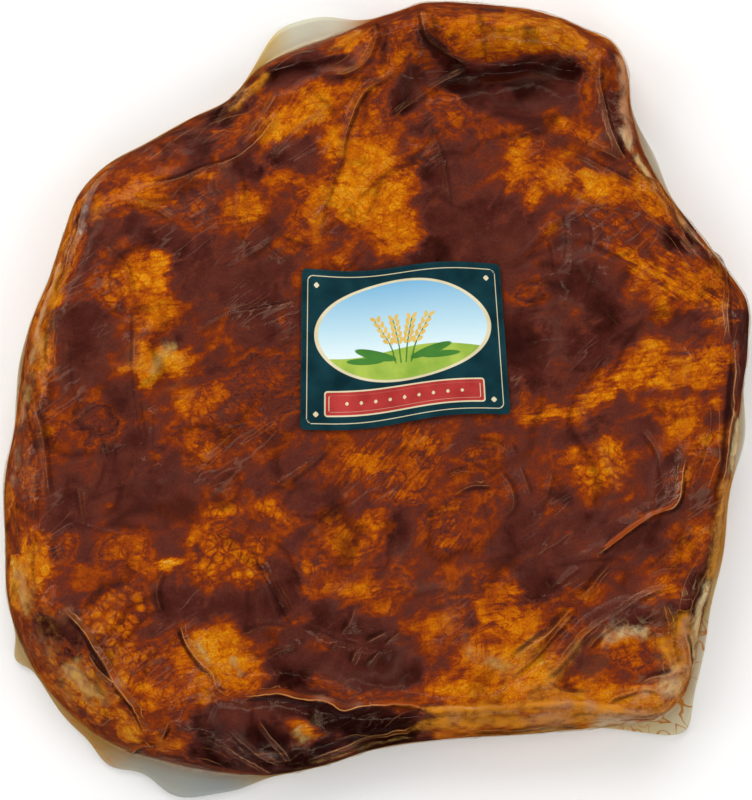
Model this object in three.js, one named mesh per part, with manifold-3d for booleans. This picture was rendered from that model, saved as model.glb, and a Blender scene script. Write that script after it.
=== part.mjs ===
// A slab of boiled bacon, rubbed with paprika and sealed in a clear vacuum bag, lying flat with its label up.
// Units are millimetres and +Z is up. The origin is the middle of the pack's footprint, on the surface it lies on.

import * as THREE from "three";
import Module from "manifold-3d";

const wasm = await Module();
wasm.setup();

// Driving sizes
const slabThickness = 35;
const flangeThickness = 1.3; // both films of the bag, sealed together
const flangeRoot = 2.4; // height at which the flange leaves the slab's side
const footInset = 6; // how far the flat underside stops short of the slab's widest line
const labelWidth = 80;
const labelHeight = 61;
const labelThickness = 0.5;
const labelGap = 0.45; // between the label and the bag

// How finely the surfaces are divided
const topCells = 42; // squares across the top
const sideRings = 7; // from the shoulder down to the flange
const underRing = 8; // corners of the flat middle of the underside
const pleatStep = 5.5;

// The slab's widest line seen from above, round from the right hand side
const slabOutline = [
  [148.8, 3], [151.6, 24], [150.6, 40.5], [142.5, 53.5], [130.5, 69], [118, 85.5], [109.5, 101], [104, 118.5],
  [102.5, 133], [97, 144.5], [85, 151], [66, 158], [43, 161.2], [21, 161.8], [4, 156.6], [-14, 149.6],
  [-32, 143.5], [-47, 136], [-60, 122.5], [-76, 114.5], [-94, 104.5], [-109.5, 96], [-121, 84], [-128, 66],
  [-133.5, 49], [-141, 30], [-145, 8], [-147.6, -13], [-151.4, -33], [-151.2, -59], [-150.2, -81],
  [-144, -102], [-132, -120.5], [-118, -134], [-104, -142], [-86, -147.5], [-64, -152], [-44, -153],
  [-23, -149.5], [0, -142.3], [30, -138], [63, -136], [92, -133], [113, -130], [125, -120], [130.5, -101],
  [135, -82], [139.2, -63], [142.6, -43], [146, -22],
];

// Width of the rounded side, from the widest line in to the flat top, by bearing in degrees
const sideWidths = [
  [-178, 17], [-160, 24], [-143, 36], [-128, 34], [-114, 27], [-100, 20], [-80, 16], [-62, 15],
  [-44, 18], [-25, 12], [0, 11], [22, 13], [45, 15], [62, 13], [80, 15], [98, 18], [112, 25],
  [128, 26], [145, 22], [165, 17],
];

// The spare film outside the slab: bearing in degrees, half-angle, width and how far its edge curls up
const flangeWidth = 0.6;
const flangeLobes = [
  [104.5, 4.5, 8, 2.6],
  [98, 5, 7.5, 1.6],
  [41.5, 5, 3, 1.6],
  [-5.5, 6, 3.2, 1.8],
  [-25, 8, 2.2, 1],
  [-39, 6, 3.8, 1.2],
  [-47, 3.2, 9.5, 2.4],
  [-51.5, 3.5, 3, 0.8],
  [-109.5, 3, 3, 0.8],
  [-116.5, 5.8, 12.5, 2.8],
  [-126, 3.5, 7, 2.4],
  [-133, 5, 2.5, 0.8],
  [-144.3, 1.8, 4.2, 1.2],
  [175, 5, 1.2, 1],
];

// Broad swells and hollows of the top: middle, half-sizes, turn in degrees and rise
const swells = [
  { at: [-72, 36], reach: [52, 40], turn: 20, rise: 3.2 },
  { at: [104, 22], reach: [30, 46], turn: 10, rise: 3 },
  { at: [10, 20], reach: [60, 40], turn: 0, rise: 1.5 },
  { at: [84, 54], reach: [8, 19], turn: -8, rise: 2.6 },
  { at: [-72, -118], reach: [17, 13], turn: 20, rise: 4.2 },
  { at: [-90, -62], reach: [34, 26], turn: -30, rise: 2.4 },
  { at: [-52, -62], reach: [15, 20], turn: 15, rise: 2.4 },
  { at: [-12, -104], reach: [34, 12], turn: -4, rise: -5.5 },
  { at: [-8, -72], reach: [30, 14], turn: 6, rise: 2.2 },
  { at: [72, -88], reach: [30, 12], turn: 42, rise: -4.2 },
  { at: [104, -100], reach: [20, 9], turn: 38, rise: -2.6 },
  { at: [48, -100], reach: [24, 9], turn: 14, rise: 2.4 },
  { at: [84, -26], reach: [26, 18], turn: 20, rise: 2.2 },
  { at: [46, -30], reach: [9, 12], turn: 0, rise: -1.8 },
  { at: [-96, -4], reach: [9, 40], turn: 4, rise: -2.4 },
  { at: [-44, 88], reach: [28, 17], turn: 35, rise: 2.8 },
  { at: [-70, 100], reach: [26, 8], turn: 26, rise: -2.2 },
  { at: [10, 84], reach: [16, 34], turn: 0, rise: 1.8 },
  { at: [-66, 8], reach: [24, 7], turn: 26, rise: -1.8 },
  { at: [-128, -14], reach: [9, 34], turn: 4, rise: 2 },
  { at: [-112, -112], reach: [22, 12], turn: -48, rise: 2.4 },
  { at: [-10, -136], reach: [24, 7], turn: 4, rise: -2 },
  { at: [60, -131], reach: [40, 5], turn: 1, rise: -1.5 },
];

// Long rolls and grooves of the top, each along a path: half-width and rise
const rolls = [
  { path: [[2, 148], [22, 149.5], [48, 147.5], [72, 143], [88, 134]], width: 12, rise: 7.5 },
  { path: [[20, 128], [38, 131], [62, 133], [80, 129], [94, 120]], width: 6.5, rise: -6.5 },
  { path: [[18, 160], [20, 148], [27, 138], [38, 131]], width: 4, rise: 2.4 },
  { path: [[-46, 132], [-24, 137], [0, 140]], width: 6, rise: -3 },
  { path: [[124, -22], [118, -41], [98, -51], [88, -60], [79, -72], [62, -95]], width: 6, rise: 3.4 },
  { path: [[112, -89], [98, -85], [86, -92], [71, -110], [54, -118]], width: 5.5, rise: 2.8 },
  { path: [[-66, -112], [-52, -117], [-32, -118], [-14, -124], [30, -125], [78, -124], [124, -121]], width: 5.5, rise: 4 },
  { path: [[-128, -82], [-117, -90], [-108, -107], [-98, -120], [-90, -134]], width: 6, rise: 3.4 },
];

// Pleats of film that stand on the slab: path, height, half-width and sideways lean
const pleats = [
  { path: [[-62, -115], [-50, -118.5], [-32, -119], [-14, -125], [2, -123.5]], height: 3.2, width: 2.6, lean: 0.7 },
  { path: [[10, -124], [34, -126], [62, -125], [94, -125], [122, -122]], height: 2.8, width: 2.6, lean: 0.6 },
  { path: [[-124, -84], [-115, -91], [-107, -107], [-98, -120], [-91, -133]], height: 2.6, width: 2.4, lean: -0.6 },
  { path: [[121, -26], [117, -41], [98, -52], [88, -60], [79, -72], [64, -93]], height: 2.4, width: 2.4, lean: 0.6 },
  { path: [[108, -89], [97, -86], [86, -92.5], [71, -110], [58, -116]], height: 2.2, width: 2.2, lean: -0.6 },
  { path: [[88, 138], [90, 122], [96, 104], [106, 88], [117, 72], [126, 61]], height: 2.4, width: 2.2, lean: 0.7 },
  { path: [[127, 60], [135, 53], [139, 40], [141, 27]], height: 2.2, width: 2, lean: 0.6 },
  { path: [[137, -22], [134, -43], [130, -62], [122, -76], [121, -87]], height: 2.2, width: 2, lean: -0.5 },
  { path: [[-106, 92], [-114, 79], [-121, 58], [-128, 38]], height: 2, width: 2, lean: -0.6 },
  { path: [[-133, -6], [-131, -22], [-126, -42]], height: 2, width: 2, lean: 0.6 },
  { path: [[-90, 85], [-70, 91], [-56, 95], [-46, 104], [-38, 116], [-31, 127]], height: 1.7, width: 1.8, lean: 0.5 },
  { path: [[-1, 125], [-8, 115], [-14, 98], [-22, 74], [-27, 58]], height: 1.7, width: 1.8, lean: 0.5 },
  { path: [[8, 113], [20, 124], [32, 132]], height: 1.6, width: 1.8, lean: 0.5 },
  { path: [[-96, 33], [-96.5, 18], [-94, 0], [-92, -32]], height: 2, width: 2, lean: 0.6 },
  { path: [[-58, 22], [-46, 29], [-34, 37]], height: 1.7, width: 1.8, lean: 0.5 },
  { path: [[-58, -56], [-49, -69], [-40, -85], [-31, -98]], height: 2, width: 2, lean: 0.6 },
  { path: [[-20, -18], [-30, -27], [-40, -36], [-52, -34]], height: 1.8, width: 1.8, lean: -0.5 },
];
const pleatSink = 1.4; // how deep a pleat's feet reach into the slab
const pleatTip = 0.2; // share of a pleat's size that is left at its two ends

// The label's place, from its lower left corner round to its upper left one, and the waves of its long edges
const labelCorners = [[-30, -12.4], [53.2, -5.2], [48.8, 54.2], [-29.2, 51.4]];
const labelWave = 1.3;
const labelCells = [22, 17];
const labelCornerCut = 0.8;

const flat2 = ([x, y]) => new THREE.Vector2(x, y);
const smooth = (t) => t * t * (3 - 2 * t);
const degrees = (x, y) => THREE.MathUtils.radToDeg(Math.atan2(y, x));

// The value at a bearing, eased between pairs of [bearing, value] that go once round
function valueRound(pairs, bearing) {
  const next = pairs.findIndex(([at]) => at > bearing);
  const last = pairs.length - 1;
  const [a, b] = next > 0 ? [pairs[next - 1], pairs[next]] : [pairs[last], pairs[0]];
  const span = THREE.MathUtils.euclideanModulo(b[0] - a[0], 360);
  const along = THREE.MathUtils.euclideanModulo(bearing - a[0], 360);
  return THREE.MathUtils.lerp(a[1], b[1], smooth(along / span));
}

// The outline as a smooth closed curve, and its distance from the middle by bearing
const outlineCurve = new THREE.CatmullRomCurve3(
  slabOutline.map(([x, y]) => new THREE.Vector3(x, y, 0)), true, "centripetal",
);
const outlineTable = outlineCurve
  .getPoints(900)
  .slice(0, -1)
  .map((p) => [degrees(p.x, p.y), Math.hypot(p.x, p.y)])
  .sort((a, b) => a[0] - b[0]);

function outlineRadius(bearing) {
  const next = outlineTable.findIndex(([at]) => at > bearing);
  const last = outlineTable.length - 1;
  const [a, b] = next > 0 ? [outlineTable[next - 1], outlineTable[next]] : [outlineTable[last], outlineTable[0]];
  const span = THREE.MathUtils.euclideanModulo(b[0] - a[0], 360);
  return THREE.MathUtils.lerp(a[1], b[1], THREE.MathUtils.euclideanModulo(bearing - a[0], 360) / span);
}

// The spare film at a bearing: its width and the height of its edge
function flangeAt(bearing) {
  let width = flangeWidth;
  let lift = 0.5 + 0.35 * Math.sin(THREE.MathUtils.degToRad(bearing * 9));
  for (const [middle, half, lobe, curl] of flangeLobes) {
    const off = THREE.MathUtils.euclideanModulo(bearing - middle + 180, 360) - 180;
    const share = Math.exp(-((off / half) ** 2));
    width += lobe * share;
    lift += curl * share;
  }
  return { width, edge: flangeThickness + lift };
}

// How far a point is from a path
function nearPath(path, x, y) {
  const p = new THREE.Vector2(x, y);
  let best = Infinity;
  for (let i = 0; i + 1 < path.length; i++) {
    const a = flat2(path[i]);
    const ab = flat2(path[i + 1]).sub(a);
    const t = THREE.MathUtils.clamp(p.clone().sub(a).dot(ab) / ab.lengthSq(), 0, 1);
    best = Math.min(best, p.distanceTo(a.addScaledVector(ab, t)));
  }
  return best;
}

function topHeight(x, y) {
  let z = slabThickness;
  for (const { at, reach, turn, rise } of swells) {
    const p = new THREE.Vector2(x - at[0], y - at[1]).rotateAround(new THREE.Vector2(), -THREE.MathUtils.degToRad(turn));
    z += rise * Math.exp(-((p.x / reach[0]) ** 2) - (p.y / reach[1]) ** 2);
  }
  for (const { path, width, rise } of rolls) z += rise * Math.exp(-((nearPath(path, x, y) / width) ** 2));
  return z;
}

// The bag's surface over any point inside the slab's outline: the top, rounded down to the flange
function surfaceHeight(x, y) {
  const bearing = degrees(x, y);
  const inward = outlineRadius(bearing) - Math.hypot(x, y);
  const rounded = THREE.MathUtils.clamp(1 - inward / valueRound(sideWidths, bearing), 0, 1);
  return flangeRoot + (topHeight(x, y) - flangeRoot) * Math.sqrt(1 - rounded ** 2);
}

function surfaceNormal(x, y) {
  const reach = 1.5;
  const slopeX = (surfaceHeight(x + reach, y) - surfaceHeight(x - reach, y)) / (2 * reach);
  const slopeY = (surfaceHeight(x, y + reach) - surfaceHeight(x, y - reach)) / (2 * reach);
  return new THREE.Vector3(-slopeX, -slopeY, 1).normalize();
}

// A square of cells pressed into a round one: the place in the unit disc of a point of the square
function squareToDisc(a, b) {
  if (a === 0 && b === 0) return [0, 0];
  const wide = Math.abs(a) >= Math.abs(b);
  const r = wide ? a : b;
  const angle = wide ? (Math.PI / 4) * (b / a) : Math.PI / 2 - (Math.PI / 4) * (a / b);
  return [r * Math.cos(angle), r * Math.sin(angle)];
}

function geometryOf(points, faces) {
  return new THREE.BufferGeometry()
    .setAttribute("position", new THREE.BufferAttribute(new Float32Array(points.flat()), 3))
    .setIndex(faces.flat());
}

// The rim of a square grid of points, counterclockwise from the lower left corner
function gridRim(columns, rows) {
  const at = (i, j) => j * (columns + 1) + i;
  const rim = [];
  for (let i = 0; i < columns; i++) rim.push(at(i, 0));
  for (let j = 0; j < rows; j++) rim.push(at(columns, j));
  for (let i = columns; i > 0; i--) rim.push(at(i, rows));
  for (let j = rows; j > 0; j--) rim.push(at(0, j));
  return rim;
}

function gridFaces(columns, rows, first = 0) {
  const faces = [];
  for (let j = 0; j < rows; j++)
    for (let i = 0; i < columns; i++) {
      const a = first + j * (columns + 1) + i;
      const [b, c, d] = [a + 1, a + columns + 2, a + columns + 1];
      faces.push([a, b, c], [a, c, d]);
    }
  return faces;
}

// Faces between two loops of equally many points, the first above or inside the second
function bandFaces(upper, lower) {
  return upper.flatMap((a, m) => {
    const n = (m + 1) % upper.length;
    return [[a, lower[m], lower[n]], [a, lower[n], upper[n]]];
  });
}

// The slab in its bag: top, rounded sides, spare film and the flat underside, as one closed surface
function sealedSlab() {
  const points = [];
  for (let j = 0; j <= topCells; j++)
    for (let i = 0; i <= topCells; i++) {
      const [dx, dy] = squareToDisc((2 * i) / topCells - 1, (2 * j) / topCells - 1);
      const bearing = degrees(dx, dy);
      const radius = outlineRadius(bearing) - valueRound(sideWidths, bearing);
      const [x, y] = [dx * radius, dy * radius];
      points.push([x, y, surfaceHeight(x, y)]);
    }
  const faces = gridFaces(topCells, topCells);
  let loop = gridRim(topCells, topCells);
  const bearings = loop.map((n) => THREE.MathUtils.degToRad(degrees(points[n][0], points[n][1])));

  // Adds one more loop, whose radius and height come from the bearing in degrees, and joins it to the last
  function addLoop(place) {
    const first = points.length;
    for (const angle of bearings) {
      const [radius, z] = place(THREE.MathUtils.radToDeg(angle));
      points.push([radius * Math.cos(angle), radius * Math.sin(angle), z]);
    }
    const next = bearings.map((_, m) => first + m);
    faces.push(...bandFaces(loop, next));
    loop = next;
  }
  for (let k = 1; k <= sideRings; k++) {
    const down = (k / sideRings) * (Math.PI / 2);
    addLoop((bearing) => {
      const radius = outlineRadius(bearing) - valueRound(sideWidths, bearing) * (1 - Math.sin(down));
      const angle = THREE.MathUtils.degToRad(bearing);
      const top = topHeight(radius * Math.cos(angle), radius * Math.sin(angle));
      return [radius, flangeRoot + (top - flangeRoot) * Math.cos(down)];
    });
  }
  addLoop((bearing) => [outlineRadius(bearing) + flangeAt(bearing).width, flangeAt(bearing).edge]);
  addLoop((bearing) => [outlineRadius(bearing) + flangeAt(bearing).width, flangeAt(bearing).edge - flangeThickness]);
  addLoop((bearing) => [outlineRadius(bearing) - footInset, 0]);

  const middle = points.length;
  points.push([0, 0, 0]);
  for (let k = 0; k < underRing; k++) {
    const angle = bearings[(k * loop.length) / underRing];
    points.push([70 * Math.cos(angle), 70 * Math.sin(angle), 0]);
  }
  const inner = (k) => middle + 1 + (k % underRing);
  loop.forEach((a, m) => {
    const k = Math.floor((m * underRing) / loop.length);
    const next = (m + 1) % loop.length;
    faces.push([a, inner(k), loop[next]]);
    if ((next * underRing) % loop.length === 0) faces.push([loop[next], inner(k), inner(k + 1)]);
  });
  for (let k = 0; k < underRing; k++) faces.push([inner(k), middle, inner(k + 1)]);
  return geometryOf(points, faces);
}

// A pleat of film: a leaning wedge swept along its path, with its feet sunk in the slab
function pleatOnSlab({ path, height, width, lean }) {
  const curve = new THREE.CatmullRomCurve3(path.map(([x, y]) => new THREE.Vector3(x, y, 0)), false, "centripetal");
  const steps = Math.max(4, Math.round(curve.getLength() / pleatStep));
  const points = [];
  for (let i = 0; i <= steps; i++) {
    const { x, y } = curve.getPointAt(i / steps);
    const on = new THREE.Vector3(x, y, surfaceHeight(x, y));
    const up = surfaceNormal(x, y);
    const side = up.clone().cross(curve.getTangentAt(i / steps)).normalize();
    const size = THREE.MathUtils.lerp(pleatTip, 1, smooth(Math.min(1, Math.min(i, steps - i) / 2)));
    const corner = (across, above) =>
      on.clone().addScaledVector(side, across * width * size).addScaledVector(up, above).toArray();
    points.push(corner(-1, -pleatSink), corner(0, -2.5 * pleatSink), corner(1, -pleatSink), corner(lean, height * size));
  }
  const faces = [[0, 2, 1], [0, 3, 2]];
  for (let i = 0; i < steps; i++)
    for (let k = 0; k < 4; k++) {
      const [a, b] = [4 * i + k, 4 * i + ((k + 1) % 4)];
      faces.push([a, b + 4, a + 4], [a, b, b + 4]);
    }
  const end = 4 * steps;
  faces.push([end, end + 1, end + 2], [end, end + 2, end + 3]);
  return geometryOf(points, faces);
}

function solidFrom(geometry) {
  const { position } = geometry.attributes;
  const triVerts = new Uint32Array(geometry.index.array);
  return new wasm.Manifold(new wasm.Mesh({ numProp: 3, vertProperties: position.array, triVerts }));
}

function geometryFrom(solid) {
  const mesh = solid.getMesh();
  return new THREE.BufferGeometry()
    .setAttribute("position", new THREE.BufferAttribute(new Float32Array(mesh.vertProperties), 3))
    .setIndex(new THREE.BufferAttribute(new Uint32Array(mesh.triVerts), 1));
}

// Place on the label, with u and v from 0 to 1, in plan: its corners are eased off and its long edges wave
function labelPlace(u, v) {
  const [lowLeft, lowRight, highRight, highLeft] = labelCorners.map(flat2);
  const low = lowLeft.lerp(lowRight, u);
  const p = low.lerp(highLeft.lerp(highRight, u), v);
  p.y += labelWave * Math.sin(2 * Math.PI * (u * 1.15 + 0.42)) * (0.4 + 0.6 * Math.abs(2 * v - 1));
  return p;
}

function labelSheet() {
  const [columns, rows] = labelCells;
  const cut = [labelCornerCut / labelWidth, labelCornerCut / labelHeight];
  const points = [];
  for (const face of [labelGap + labelThickness, labelGap])
    for (let j = 0; j <= rows; j++)
      for (let i = 0; i <= columns; i++) {
        const corner = i % columns === 0 && j % rows === 0;
        const [u, v] = [i / columns, j / rows].map((share, k) => (corner ? Math.abs(share - cut[k]) : share));
        const p = labelPlace(u, v);
        points.push([p.x, p.y, surfaceHeight(p.x, p.y) + face]);
      }
  const sheet = (columns + 1) * (rows + 1);
  const rim = gridRim(columns, rows);
  const faces = gridFaces(columns, rows);
  faces.push(...gridFaces(columns, rows, sheet).map(([a, b, c]) => [a, c, b]));
  faces.push(...bandFaces(rim, rim.map((n) => n + sheet)));
  return geometryOf(points, faces);
}

function namedMesh(name, geometry, colour, roughness) {
  const mesh = new THREE.Mesh(geometry, new THREE.MeshStandardMaterial({ color: colour, roughness, metalness: 0 }));
  mesh.geometry.computeVertexNormals();
  mesh.name = name;
  return mesh;
}

let bag = solidFrom(sealedSlab());
for (const pleat of pleats) bag = bag.add(solidFrom(pleatOnSlab(pleat)));

const pack = new THREE.Group();
pack.add(namedMesh("sealed_bag", geometryFrom(bag), "#7a3414", 0.35));
pack.add(namedMesh("label", labelSheet(), "#0d353d", 0.4));

export default pack;
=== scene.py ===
from itertools import product
from math import radians

import bpy
import numpy as np
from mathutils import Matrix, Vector


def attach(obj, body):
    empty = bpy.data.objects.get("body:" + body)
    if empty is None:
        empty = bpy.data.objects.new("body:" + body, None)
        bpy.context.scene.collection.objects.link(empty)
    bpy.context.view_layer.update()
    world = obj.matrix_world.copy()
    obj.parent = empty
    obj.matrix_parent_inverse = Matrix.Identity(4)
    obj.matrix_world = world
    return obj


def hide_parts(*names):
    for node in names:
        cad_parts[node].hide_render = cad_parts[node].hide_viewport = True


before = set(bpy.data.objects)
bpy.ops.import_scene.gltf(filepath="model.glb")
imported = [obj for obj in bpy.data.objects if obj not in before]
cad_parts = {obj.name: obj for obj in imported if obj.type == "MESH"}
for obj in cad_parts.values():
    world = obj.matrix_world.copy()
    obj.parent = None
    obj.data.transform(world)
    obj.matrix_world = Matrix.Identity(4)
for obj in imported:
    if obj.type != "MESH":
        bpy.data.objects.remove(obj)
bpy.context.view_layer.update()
mm = 0.001
print("bacon: frame loaded")

# The slab and its bag, with the same numbers as the part's solids
slab = {
    "thickness": 35,
    "flangeRoot": 2.4,  # height at which the spare film leaves the side
    "footInset": 6,  # the flat underside stops this far inside the widest line
    "outline": [
        [148.8, 3], [151.6, 24], [150.6, 40.5], [142.5, 53.5], [130.5, 69], [118, 85.5], [109.5, 101],
        [104, 118.5], [102.5, 133], [97, 144.5], [85, 151], [66, 158], [43, 161.2], [21, 161.8], [4, 156.6],
        [-14, 149.6], [-32, 143.5], [-47, 136], [-60, 122.5], [-76, 114.5], [-94, 104.5], [-109.5, 96],
        [-121, 84], [-128, 66], [-133.5, 49], [-141, 30], [-145, 8], [-147.6, -13], [-151.4, -33],
        [-151.2, -59], [-150.2, -81], [-144, -102], [-132, -120.5], [-118, -134], [-104, -142],
        [-86, -147.5], [-64, -152], [-44, -153], [-23, -149.5], [0, -142.3], [30, -138], [63, -136],
        [92, -133], [113, -130], [125, -120], [130.5, -101], [135, -82], [139.2, -63], [142.6, -43],
        [146, -22],
    ],
    # bearing in degrees, width of the rounded side
    "sides": [
        [-178, 17], [-160, 24], [-143, 36], [-128, 34], [-114, 27], [-100, 20], [-80, 16], [-62, 15],
        [-44, 18], [-25, 12], [0, 11], [22, 13], [45, 15], [62, 13], [80, 15], [98, 18], [112, 25],
        [128, 26], [145, 22], [165, 17],
    ],
    # middle, half-sizes, turn in degrees, rise
    "swells": [
        (-72, 36, 52, 40, 20, 3.2), (104, 22, 30, 46, 10, 3), (10, 20, 60, 40, 0, 1.5),
        (84, 54, 8, 19, -8, 2.6), (-72, -118, 17, 13, 20, 4.2), (-90, -62, 34, 26, -30, 2.4),
        (-52, -62, 15, 20, 15, 2.4), (-12, -104, 34, 12, -4, -5.5), (-8, -72, 30, 14, 6, 2.2),
        (72, -88, 30, 12, 42, -4.2), (104, -100, 20, 9, 38, -2.6), (48, -100, 24, 9, 14, 2.4),
        (84, -26, 26, 18, 20, 2.2), (46, -30, 9, 12, 0, -1.8), (-96, -4, 9, 40, 4, -2.4),
        (-44, 88, 28, 17, 35, 2.8), (-70, 100, 26, 8, 26, -2.2), (10, 84, 16, 34, 0, 1.8),
        (-66, 8, 24, 7, 26, -1.8), (-128, -14, 9, 34, 4, 2), (-112, -112, 22, 12, -48, 2.4),
        (-10, -136, 24, 7, 4, -2), (60, -131, 40, 5, 1, -1.5),
    ],
    # half-width, rise, path
    "rolls": [
        (12, 7.5, [[2, 148], [22, 149.5], [48, 147.5], [72, 143], [88, 134]]),
        (6.5, -6.5, [[20, 128], [38, 131], [62, 133], [80, 129], [94, 120]]),
        (4, 2.4, [[18, 160], [20, 148], [27, 138], [38, 131]]),
        (6, -3, [[-46, 132], [-24, 137], [0, 140]]),
        (6, 3.4, [[124, -22], [118, -41], [98, -51], [88, -60], [79, -72], [62, -95]]),
        (5.5, 2.8, [[112, -89], [98, -85], [86, -92], [71, -110], [54, -118]]),
        (5.5, 4, [[-66, -112], [-52, -117], [-32, -118], [-14, -124], [30, -125], [78, -124], [124, -121]]),
        (6, 3.4, [[-128, -82], [-117, -90], [-108, -107], [-98, -120], [-90, -134]]),
    ],
}

# The spare film outside the slab
flange = {
    "width": 0.6,
    "thickness": 1.3,
    "lobes": [  # bearing and half-angle in degrees, width and how far its edge curls up in mm
        (104.5, 4.5, 8, 2.6), (98, 5, 7.5, 1.6), (41.5, 5, 3, 1.6), (-5.5, 6, 3.2, 1.8), (-25, 8, 2.2, 1),
        (-39, 6, 3.8, 1.2), (-47, 3.2, 9.5, 2.4), (-51.5, 3.5, 3, 0.8), (-109.5, 3, 3, 0.8),
        (-116.5, 5.8, 12.5, 2.8), (-126, 3.5, 7, 2.4), (-133, 5, 2.5, 0.8), (-144.3, 1.8, 4.2, 1.2),
        (175, 5, 1.2, 1),
    ],
}


def ease(t):
    t = np.clip(t, 0, 1)
    return t * t * (3 - 2 * t)


# The value at a bearing, eased between pairs of bearing and value that go once round
def easedRound(pairs, bearing):
    at, value = np.array(pairs, float).T
    k = np.searchsorted(at, bearing, side="right")
    a, b = (k - 1) % len(at), k % len(at)
    return value[a] + (value[b] - value[a]) * ease(((bearing - at[a]) % 360) / ((at[b] - at[a]) % 360))


# Points along a smooth curve through the given ones, closed or open
def smoothCurve(points, perSpan, closed=False):
    p = np.array(points, float)
    if not closed:
        p = np.vstack([2 * p[0] - p[1], p, 2 * p[-1] - p[-2]])
    p0, p1, p2, p3 = (np.roll(p, k, 0) for k in (1, 0, -1, -2))
    if not closed:
        p0, p1, p2, p3 = (q[1:-2] for q in (p0, p1, p2, p3))
    d0, d1, d2 = (np.sqrt(np.linalg.norm(b - a, axis=1))[:, None] for a, b in ((p0, p1), (p1, p2), (p2, p3)))
    m1 = ((p1 - p0) / d0 - (p2 - p0) / (d0 + d1) + (p2 - p1) / d1) * d1
    m2 = ((p2 - p1) / d1 - (p3 - p1) / (d1 + d2) + (p3 - p2) / d2) * d1
    t = (np.arange(perSpan) / perSpan)[None, :, None]
    a, b, m1, m2 = (q[:, None, :] for q in (p1, p2, m1, m2))
    curve = (a + t * m1 + t**2 * (3 * (b - a) - 2 * m1 - m2) + t**3 * (2 * (a - b) + m1 + m2)).reshape(-1, 2)
    return curve if closed else np.vstack([curve, p2[-1]])


def bearingOf(x, y):
    return np.degrees(np.arctan2(y, x))


outlineCurve = smoothCurve(slab["outline"], 18, closed=True)
outlineOrder = np.argsort(bearingOf(*outlineCurve.T))
outlineBearings = bearingOf(*outlineCurve.T)[outlineOrder]
outlineRadii = np.hypot(*outlineCurve.T)[outlineOrder]


def outlineRadius(bearing):
    return np.interp(bearing, outlineBearings, outlineRadii, period=360)


def flangeAt(bearing):
    width = np.full_like(bearing, flange["width"])
    edge = flange["thickness"] + 0.5 + 0.35 * np.sin(np.radians(bearing * 9))
    for middle, half, lobe, curl in flange["lobes"]:
        share = np.exp(-((((bearing - middle + 180) % 360 - 180) / half) ** 2))
        width, edge = width + lobe * share, edge + curl * share
    return width, edge


# Distance from a path, its side (left is positive) and the share of the path passed, for points near it
def nearPath(path, x, y, reach=1e9):
    p = np.array(path, float)
    near = np.flatnonzero(
        (x > p[:, 0].min() - reach) & (x < p[:, 0].max() + reach)
        & (y > p[:, 1].min() - reach) & (y < p[:, 1].max() + reach)
    )
    qx, qy = x[near], y[near]
    lengths = np.linalg.norm(np.diff(p, axis=0), axis=1)
    passed = np.concatenate([[0], np.cumsum(lengths)])
    best, side, share = np.full(len(near), 1e9), np.ones(len(near)), np.zeros(len(near))
    for k, (a, b) in enumerate(zip(p[:-1], p[1:])):
        ab = b - a
        t = np.clip(((qx - a[0]) * ab[0] + (qy - a[1]) * ab[1]) / lengths[k] ** 2, 0, 1)
        dx, dy = qx - a[0] - t * ab[0], qy - a[1] - t * ab[1]
        away = np.hypot(dx, dy)
        closer = away < best
        best = np.where(closer, away, best)
        side = np.where(closer, np.where(ab[0] * dy - ab[1] * dx >= 0, 1, -1), side)
        share = np.where(closer, (passed[k] + t * lengths[k]) / passed[-1], share)
    return near, best, side, share


def turned(x, y, angle):
    c, s = np.cos(np.radians(angle)), np.sin(np.radians(angle))
    return c * x + s * y, c * y - s * x


def topHeight(x, y):
    z = np.full_like(x, slab["thickness"])
    for cx, cy, rx, ry, turn, rise in slab["swells"]:
        px, py = turned(x - cx, y - cy, turn)
        z += rise * np.exp(-((px / rx) ** 2) - (py / ry) ** 2)
    for width, rise, path in slab["rolls"]:
        z += rise * np.exp(-((nearPath(path, x, y)[1] / width) ** 2))
    return z


# Height of the bag over any point inside the slab's outline
def surfaceHeight(x, y):
    bearing = bearingOf(x, y)
    inward = outlineRadius(bearing) - np.hypot(x, y)
    rounded = np.clip(1 - inward / easedRound(slab["sides"], bearing), 0, 1)
    return slab["flangeRoot"] + (topHeight(x, y) - slab["flangeRoot"]) * np.sqrt(1 - rounded**2)


# Gradient noise from -1 to 1 at points given in cells, the same on every run
def softNoise(points, seed):
    cell = np.floor(points).astype(np.int64)
    f = points - cell
    w = f**3 * (f * (f * 6 - 15) + 10)
    total = np.zeros(len(points))
    for corner in product((0, 1), repeat=3):
        c = np.array(corner)
        i, j, k = (cell + c).T
        h = ((i * 73856093) ^ (j * 19349663) ^ (k * 83492791) ^ (seed * 40503 + 977)) & 0xFFFFFFFF
        h = ((h ^ (h >> 13)) * 1274126177) & 0xFFFFFFFF
        h = ((h ^ (h >> 15)) * 2246822519) & 0xFFFFFFFF
        gradient = np.stack([((h >> s) & 1023) / 511.5 - 1 for s in (0, 10, 20)], 1)
        weight = np.prod(np.where(c, w, 1 - w), axis=1)
        total += weight * np.sum(gradient * (f - c), axis=1)
    return total * 1.6


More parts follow.
